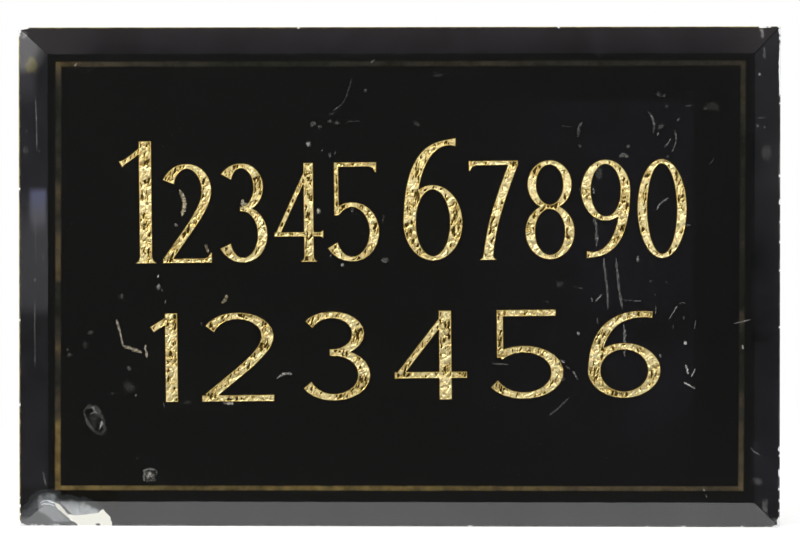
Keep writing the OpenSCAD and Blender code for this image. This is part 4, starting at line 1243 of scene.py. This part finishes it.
# Chips along each side of the rim: place from its middle, half length and width, all in mm
CHIPS = {
    "top": [
        (218, 2.6, 0.9), (222, 0.9, 0.7), (227.6, 1, 0.8), (-226.6, 2.2, 1.5), (-223.4, 0.9, 0.9),
        (96, 0.8, 0.5), (-60, 0.7, 0.5)],
    "right": [
        (147.2, 2.4, 1.3), (143, 1.2, 0.7), (124, 16.5, 1), (104, 0.7, 0.4), (60.6, 1, 0.6),
        (45, 1.6, 0.7), (33, 0.6, 0.5), (21, 0.8, 0.6), (4, 0.6, 0.5), (-30, 0.8, 0.5), (-103, 1.6, 1),
        (-107, 0.7, 0.6), (-117.5, 2.6, 0.9), (-127, 0.8, 0.7), (-134, 0.9, 0.6), (-140, 0.6, 0.5),
        (-147.2, 3.8, 1.7)],
    "bottom": [
        (226.4, 2.8, 1.3), (220.6, 0.8, 0.7), (43, 1.2, 0.6), (149, 0.8, 0.5), (171, 1, 0.5),
        (206, 0.7, 0.5), (-183, 0.8, 0.6), (-226.8, 2, 1.2), (-221, 0.8, 1.2), (-218.6, 0.8, 1.2),
        (-214.6, 0.5, 1.3), (-207.2, 0.6, 1.2), (-205.2, 0.6, 1.1)],
    "left": [
        (-138, 0.9, 0.8), (-143, 0.7, 0.7), (-148.6, 1.6, 1.2), (-133, 0.6, 0.4), (148.2, 2.2, 1.6),
        (145.4, 0.7, 1.1), (53, 0.9, 0.6), (-26, 0.7, 0.5), (-77, 0.9, 0.5)],
}

# For each side of the rim, how worn and pale its skin is at five places from the bevel over the edge
# and down the side, and how yellow it is. The top and left are paler and yellow as a painted highlight,
# where the light from above and the left falls on the ground edge
SKIN = {
    "top": ([0, 0.15, 0.4, 0.8, 0.8], 1.0),
    "right": ([0, 0.1, 0.2, 0.25, 0.2], 0.1),
    "bottom": ([0, 0.1, 0.2, 0.25, 0.2], 0.1),
    "left": ([0.1, 0.35, 0.6, 0.5, 0.4], 1.0),
}
PROUD = 0.015  # mm by which the skin stands out from the glass
RIM_STEP = 0.4  # mm between its points along the rim


def ground_arris(side, half_length, arris, seed):
    """Places along one side of the rim, how wide its ground arris is there, in mm, and how fresh a
    chip is there, from 0 to 1. A chip is a half oval, roughened."""
    s = np.linspace(-half_length, half_length, int(2 * half_length / RIM_STEP) + 1)
    width = arris * (0.6 + 0.5 * line_noise(s, 4, 70 + seed) + 0.3 * line_noise(s, 0.9, 80 + seed))
    chip = np.zeros(len(s))
    for place, half, depth in CHIPS[side]:
        bowl = np.clip(1 - ((s - place) / half) ** 2, 0, None) ** 0.5
        bowl = bowl * (0.75 + 0.5 * line_noise(s, 0.8, 90 + seed))
        width = np.maximum(width, depth * bowl)
        chip = np.maximum(chip, 0.9 * smooth_step(0.1, 0.6, bowl))
    return s, width, chip


def rim_skin(side, s, width, rise, rim_depth):
    """Points of the skin over one side of the rim, five across: two on the bevel, which rises by rise
    for each mm, one just inside the edge, and two down the side."""
    level = side in ("top", "bottom")
    reach = GLASS_HIGH[2 if level else 0]
    inwards = width[:, None] * np.array([1, 0.6, 0.12, 0, 0])
    down = width[:, None] * np.array([0, 0, 0, 0.45, 1])
    y = rim_depth - inwards * rise - PROUD * np.array([1, 1, 1, 0, 0]) + down
    out = reach + PROUD * np.array([0, 0, 0, 1, 1]) - inwards
    out = out if side in ("top", "right") else -out
    along = np.broadcast_to(s[:, None], out.shape)
    x, z = (along, out) if level else (out, along)
    return np.column_stack([x.ravel(), y.ravel(), z.ravel()])


class BuildRim(bpy.types.Operator):
    """Builds the ground arris along the rim of the glass, with its chips"""
    bl_idname = "sign.build_rim"
    bl_label = "Ground rim"

    def execute(self, context):
        glass = context.scene.sign_glass
        frosted = ground_glass(glass)
        low, high, rim_depth = bevel_ends()
        bevels = {"top": GLASS_HIGH[2] - high[1], "right": GLASS_HIGH[0] - high[0],
                  "bottom": low[1] - GLASS_LOW[2], "left": low[0] - GLASS_LOW[0]}
        for turn, (side, (worn, stain)) in enumerate(SKIN.items()):
            half_length = GLASS_HIGH[0 if side in ("top", "bottom") else 2]
            s, width, chip = ground_arris(side, half_length, glass.arris / MM, turn)
            points = rim_skin(side, s, width, (rim_depth - GLASS_LOW[1]) / bevels[side], rim_depth)
            faces = grid_faces(len(s), len(worn), first=1)
            if side in ("top", "left"):
                faces = faces[:, ::-1]
            piece = surface(f"rim_{side}", points, [faces])
            attribute(piece, "chip", np.repeat(chip, len(worn)))
            attribute(piece, "worn", np.tile(worn, len(s)))
            attribute(piece, "stain", np.full(len(points), stain))
            dress(piece, frosted, "plate_glass")
        return {"FINISHED"}


# The three mitres whose ridge shows: which corner, as 0 or 1 for left or right and for down or up,
# and how dark the ridge is painted, as a painted reflection
RIDGES = {"top_left": ((0, 1), 0.2), "top_right": ((1, 1), 1), "bottom_right": ((1, 0), 0.3)}
RIDGE_HALF_WIDTH = 0.55  # mm
RIDGE_PROUD = 0.012  # mm by which the ridge stands out from the glass


def ridge(name, outer, inner, seed):
    """A strip along the line from the rim to the flat front, three points across: its width varies by
    a noise, and its middle stands proud of its edges."""
    way = inner - outer
    s = np.linspace(0.06, 1, 40)[:, None]
    line = outer + s * way - [0, RIDGE_PROUD / 2, 0]
    side = np.array([-way[2], 0, way[0]]) * RIDGE_HALF_WIDTH / np.hypot(way[0], way[2])
    width = 0.75 + 0.5 * soft_noise(s * 9, s * 0, seed)
    points = np.stack([line - width * side, line - [0, RIDGE_PROUD, 0], line + width * side], 1)
    return surface(name, points.reshape(-1, 3), [grid_faces(len(s), 3, first=1)])


class BuildRidges(bpy.types.Operator):
    """Builds the polished ridges where two bevels meet at a corner, painted dark as a painted reflection"""
    bl_idname = "sign.build_ridges"
    bl_label = "Mitred ridges"

    def execute(self, context):
        polished = painted_ridge_reflection()
        low, high, rim_depth = bevel_ends()
        flat, plate = np.array([low, high]), np.array([GLASS_LOW, GLASS_HIGH])
        for name, ((right, up), strength) in RIDGES.items():
            outer = np.array([plate[right, 0], rim_depth, plate[up, 2]])
            inner = np.array([flat[right, 0], GLASS_LOW[1], flat[up, 1]])
            piece = ridge(f"ridge_{name}", outer, inner, seed=95 + 2 * right + up)
            attribute(piece, "cover", np.tile([0, strength, 0], len(piece.data.vertices) // 3))
            dress(piece, polished, "plate_glass")
        return {"FINISHED"}


class DressKeptNodes(bpy.types.Operator):
    """Gives the glass, the board, the hangers, the screws and the mastic their materials"""
    bl_idname = "sign.dress_kept_nodes"
    bl_label = "Glass, board and hangers"

    def execute(self, context):
        scene, board = context.scene, context.scene.sign_board
        plate = old_brass("pressed_sheet_brass", board.brass, board.plate_tarnish, 0.0006)
        finishes = {
            "glass_plate": plate_glass(scene.sign_glass),
            "backing_board": birch_plywood(board),
            "keyhole_plate_left": plate,
            "keyhole_plate_right": plate,
            "hanger_screws": old_brass("turned_brass", board.screw, board.screw_tarnish, 0.0003),
            "mastic_dabs": bitumen_mastic(board),
        }
        for name, finish_material in finishes.items():
            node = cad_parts[name]
            node.data.materials.clear()
            node.data.materials.append(finish_material)
        return {"FINISHED"}


def panel(name, low, high, place, turn, finish_material):
    """A flat panel of the stage from its low to its high corner in metres, facing up until turned."""
    (left, near), (right, far) = low, high
    mesh = bpy.data.meshes.new(name)
    mesh.from_pydata([(left, near, 0), (right, near, 0), (right, far, 0), (left, far, 0)],
                     [], [(0, 1, 2, 3)])
    mesh.materials.append(finish_material)
    piece = bpy.data.objects.new(name, mesh)
    bpy.context.scene.collection.objects.link(piece)
    piece.location, piece.rotation_euler = place, turn
    return piece


def card(name, size, place, turn, glow):
    """A glowing card that only the glass and the gold mirror: no lamp, and not in the picture."""
    half = (size[0] / 2, size[1] / 2)
    piece = panel(name, (-half[0], -half[1]), half, place, turn, glow)
    piece.visible_camera = piece.visible_diffuse = piece.visible_shadow = False
    piece.visible_volume_scatter = False


def lamp(name, place, size, power, colour):
    """A square lamp of a size in metres and a power in watts, aimed at the middle of the sign."""
    light = bpy.data.lights.new(name, "AREA")
    light.shape, light.size, light.energy, light.color = "SQUARE", size, power, linear(colour)
    piece = bpy.data.objects.new(name, light)
    bpy.context.scene.collection.objects.link(piece)
    piece.location = place
    piece.rotation_euler = (-Vector(place)).to_track_quat("-Z", "Y").to_euler()
    piece.visible_camera = False


def floor_material(stage):
    """Pale seamless paper: lit where the sign stands, and fading into the white studio further off."""
    made, tree = material("pale_floor")
    place = add(tree, "ShaderNodeTexCoord").outputs["Object"]
    # whiter clouds a third of a metre across
    cloud = add(tree, "ShaderNodeTexNoise", {"Vector": place, "Scale": 3, "Detail": 3})
    colour = add(tree, "ShaderNodeMix", {0: cloud.outputs[0], 6: (*stage.floor, 1), 7: rgba("#FFFFFF")},
                 data_type="RGBA")
    body = add(tree, "ShaderNodeBsdfDiffuse", {"Color": colour.outputs[2]})
    white = add(tree, "ShaderNodeEmission", {"Color": (1, 1, 1, 1), "Strength": 1})
    path = add(tree, "ShaderNodeLightPath")
    seen = add(tree, "ShaderNodeMath", {
        0: path.outputs["Is Camera Ray"], 1: path.outputs["Is Transmission Ray"]}, operation="MAXIMUM")
    away = add(tree, "ShaderNodeVectorMath", {0: place}, operation="LENGTH")
    far = add(tree, "ShaderNodeMapRange", {
        "Value": away.outputs["Value"], "From Min": 0.2, "From Max": 0.9, "To Min": 0.45, "To Max": 1})
    share = add(tree, "ShaderNodeMath", {0: seen.outputs[0], 1: far.outputs[0]}, operation="MULTIPLY")
    mix = add(tree, "ShaderNodeMixShader", {0: share.outputs[0], 1: body.outputs[0], 2: white.outputs[0]})
    add(tree, "ShaderNodeOutputMaterial", {"Surface": mix.outputs[0]})
    return made


def glowing(name, paint):
    """A material that glows without being lit. paint gives its colour, from the tree and the place
    on the card, in metres across and up from the card's middle; 1 is as bright as white paper."""
    made, tree = material(name)
    place = add(tree, "ShaderNodeSeparateXYZ", {"Vector": add(tree, "ShaderNodeTexCoord").outputs["Object"]})
    colour = paint(tree, place.outputs[0], place.outputs[1])
    glow = add(tree, "ShaderNodeEmission", {"Color": colour, "Strength": 1.0})
    add(tree, "ShaderNodeOutputMaterial", {"Surface": glow.outputs[0]})
    return made


def dim_studio(tree, across, up):
    """The dim end of the studio behind the camera, as the glass mirrors it: dark in the middle,
    brownish above, paler to the left, with a bluish window and a light corner, and dim to the right."""
    pane = layered(tree, (1.75, 1.75, 2.0, 1), ((1.75, 1.85, 3.1, 1), (up, 0.008, 0.045)))
    # the light corner's edge runs up to the right by 1.88 m for each metre across
    corner = add(tree, "ShaderNodeMath", {0: across, 1: -1.88, 2: up}, operation="MULTIPLY_ADD").outputs[0]
    left = layered(
        tree, (0.19, 0.19, 0.21, 1),
        ((0.8, 0.8, 0.88, 1), (up, -0.158, -0.138)),
        ((0.24, 0.24, 0.28, 1), (up, -0.02, 0.056)),
        (pane, (across, -1.682, -1.672), (across, -1.644, -1.65), (up, 0.056, 0.044), (up, -0.024, 0.004)),
        ((0.76, 0.72, 0.84, 1), (across, -1.66, -1.675), (up, 0.185, 0.225)),
        ((1.45, 1.45, 1.5, 1), (corner, 3.355, 3.395), (up, 0.238, 0.256)),
        ((3.1, 3.0, 3.1, 1), (corner, 3.39, 3.42), (up, 0.238, 0.256)))
    inner = layered(tree, (0.04, 0.04, 0.05, 1), ((0.2, 0.2, 0.23, 1), (up, -0.05, 0.03)))
    outer = layered(tree, (0.13, 0.13, 0.15, 1), ((0.33, 0.33, 0.36, 1), (up, -0.05, 0.03)))
    right = layered(
        tree, inner,
        (outer, (across, 1.705, 1.752)),
        ((0.46, 0.46, 0.52, 1), (up, 0.265, 0.315)),
        ((0.11, 0.11, 0.14, 1), (up, -0.2, -0.4)))
    above = layered(
        tree, (0.2, 0.17, 0.19, 1),
        ((0.42, 0.36, 0.38, 1), (up, 1.385, 1.43)),
        ((0.54, 0.48, 0.47, 1), (across, 0.46, 0.53)),
        ((0.56, 0.5, 0.5, 1), (across, -0.54, -0.6)))
    return layered(
        tree, (0.012, 0.012, 0.012, 1),
        (left, (across, -0.7, -1.0)),
        (right, (across, 0.7, 1.0)),
        (above, (up, 0.7, 1.0)))


def dim_floor(tree, across, ahead):
    """The floor as the glass mirrors it: dark straight ahead and paler out at both sides. The edge
    of each pale part runs outwards by 0.32 m for each metre from the sign."""
    slant = add(tree, "ShaderNodeMath", {0: ahead, 1: 0.32}, operation="MULTIPLY").outputs[0]
    out_left = add(tree, "ShaderNodeMath", {0: slant, 1: across}, operation="SUBTRACT").outputs[0]
    out_right = add(tree, "ShaderNodeMath", {0: slant, 1: across}, operation="ADD").outputs[0]
    return layered(
        tree, (0.02, 0.019, 0.018, 1),
        ((0.18, 0.18, 0.21, 1), (out_left, 0.62, 0.66)),
        ((0.12, 0.12, 0.15, 1), (out_right, 0.62, 0.66)))


def lit_paper(tree, across, ahead):
    """The lit paper at the foot of the sign, as its lower bevel mirrors it, fading out in front."""
    return layered(
        tree, (0.02, 0.019, 0.018, 1),
        ((2.25, 2.25, 2.25, 1), (ahead, -PAPER_SIZE[1] / 2, -0.003)))


# The soft lamps: place and size in metres, power in watts and colour
LAMPS = {
    "key_lamp": ((-1.5, -1.5, 1.35), 1.1, 57, "#FFFCF6"),
    "fill_lamp": ((1.9, -1.6, 0.8), 1.2, 37, "#F7F9FF"),
    "top_lamp": ((0.2, -0.6, 2.2), 1.2, 22, "#FFFFFF"),
    "back_lamp": ((-1.3, 2.2, 1.4), 1.4, 34, "#FFFFFF"),
}
FLOOR_LOW, FLOOR_HIGH = (-6, -5), (6, 7)  # corners of the floor in metres
BELOW = 0.0001  # metres between the sign's foot and the cards under it, and again to the floor
STUDIO_SIZE, STUDIO_MIDDLE = (6, 4.4), (0, -2.4, 0.05)  # metres, of the upright card behind the camera
PAPER_NEAR, PAPER_SIZE = 0.0146, (1.5, 0.051)  # metres from the wall to the lit paper, and its size
DIM_FLOOR_NEAR, DIM_FLOOR_SIZE = 0.065, (6, 2.5)  # the same of the dim floor in front of it
AIM = (0.91, -14.4, 4.22)  # the place in mm that the camera looks at
SENSOR = 36  # width of the camera's film in mm


def build_cards(foot):
    """The floor, and the cards that the glass mirrors: the studio's end, the floor in front of the
    sign and the lit paper at its foot."""
    panel("floor", FLOOR_LOW, FLOOR_HIGH, (0, 0, foot - 2 * BELOW), (0, 0, 0),
          floor_material(bpy.context.scene.sign_stage))
    level, upright = (0, 0, 0), (math.pi / 2, 0, 0)
    card("studio_card", STUDIO_SIZE, STUDIO_MIDDLE, upright, glowing("dim_studio", dim_studio))
    floor_middle = (0, -DIM_FLOOR_NEAR - DIM_FLOOR_SIZE[1] / 2, foot - BELOW)
    card("dim_floor_card", DIM_FLOOR_SIZE, floor_middle, level, glowing("dim_floor", dim_floor))
    paper_middle = (0, -PAPER_NEAR - PAPER_SIZE[1] / 2, foot - BELOW)
    card("low_reflector", PAPER_SIZE, paper_middle, level, glowing("low_reflector", lit_paper))


def build_world():
    """A white studio all round: seen and mirrored at full strength, and lighting the sign at 0.42."""
    world = bpy.data.worlds.new("studio")
    bpy.context.scene.world = world
    world.use_nodes = True
    tree = world.node_tree
    tree.nodes.clear()
    path = add(tree, "ShaderNodeLightPath")
    mirrored = add(tree, "ShaderNodeMath", {
        0: path.outputs["Is Camera Ray"], 1: path.outputs["Is Glossy Ray"]}, operation="MAXIMUM")
    seen = add(tree, "ShaderNodeMath", {
        0: mirrored.outputs[0], 1: path.outputs["Is Transmission Ray"]}, operation="MAXIMUM")
    strength = add(tree, "ShaderNodeMapRange", {
        "Value": seen.outputs[0], "From Min": 0, "From Max": 1, "To Min": 0.42, "To Max": 1.0})
    sky = add(tree, "ShaderNodeBackground", {"Color": (1, 1, 1, 1), "Strength": strength.outputs[0]})
    add(tree, "ShaderNodeOutputWorld", {"Surface": sky.outputs[0]})


def build_camera(stage):
    """The camera, in front of the sign and a little to the right and above."""
    aim = Vector(AIM) * MM
    away = Vector((math.sin(stage.azimuth) * math.cos(stage.elevation),
                   -math.cos(stage.azimuth) * math.cos(stage.elevation), math.sin(stage.elevation)))
    camera = bpy.data.objects.new("camera", bpy.data.cameras.new("camera"))
    bpy.context.scene.collection.objects.link(camera)
    camera.data.sensor_width, camera.data.lens = SENSOR, stage.lens
    camera.location = aim + away * stage.distance
    camera.rotation_euler = (-away).to_track_quat("-Z", "Y").to_euler()
    camera.data.clip_end = 100
    bpy.context.scene.camera = camera


class BuildStage(bpy.types.Operator):
    """Builds the floor, the soft lamps, the cards that the glass mirrors, and the camera"""
    bl_idname = "sign.build_stage"
    bl_label = "Stage and camera"

    def execute(self, context):
        build_cards(GLASS_LOW[2] * MM)
        for name, settings in LAMPS.items():
            lamp(name, *settings)
        build_world()
        build_camera(context.scene.sign_stage)
        context.scene.view_settings.view_transform = "Standard"
        return {"FINISHED"}


OPERATORS = [BuildEnamel, BuildGoldLine, BuildNumerals, BuildScratches, BuildWornCorner, BuildRim,
             BuildRidges, DressKeptNodes, BuildStage]
SETTINGS = {"sign_gilding": GildingSettings, "sign_enamel": EnamelSettings, "sign_glass": GlassSettings,
            "sign_board": BoardSettings, "sign_stage": StageSettings}


class SignPanel(bpy.types.Panel):
    """Lists the steps that dress the sign, in order, and the sizes and colours they take"""
    bl_idname = "VIEW3D_PT_wall_sign"
    bl_label = "Wall Sign"
    bl_space_type = "VIEW_3D"
    bl_region_type = "UI"
    bl_category = "Wall Sign"

    def draw(self, context):
        for step in OPERATORS:
            self.layout.operator(step.bl_idname)
        for name, settings in SETTINGS.items():
            box = self.layout.box()
            for prop in settings.__annotations__:
                box.prop(getattr(context.scene, name), prop)


def register():
    """Makes the classes and the scene's settings known to Blender."""
    for made in (*SETTINGS.values(), *OPERATORS, SignPanel):
        bpy.utils.register_class(made)
    for name, settings in SETTINGS.items():
        setattr(bpy.types.Scene, name, bpy.props.PointerProperty(type=settings))


def unregister():
    """Takes the settings and the classes away again."""
    for name in SETTINGS:
        delattr(bpy.types.Scene, name)
    for made in reversed((*SETTINGS.values(), *OPERATORS, SignPanel)):
        bpy.utils.unregister_class(made)


def main():
    """Dresses the sign, one step after another."""
    register()
    bpy.ops.sign.build_enamel()
    bpy.ops.sign.build_gold_line()
    bpy.ops.sign.build_numerals()
    bpy.ops.sign.build_scratches()
    bpy.ops.sign.build_worn_corner()
    bpy.ops.sign.build_rim()
    bpy.ops.sign.build_ridges()
    bpy.ops.sign.dress_kept_nodes()
    bpy.ops.sign.build_stage()


if __name__ == "__main__":
    main()
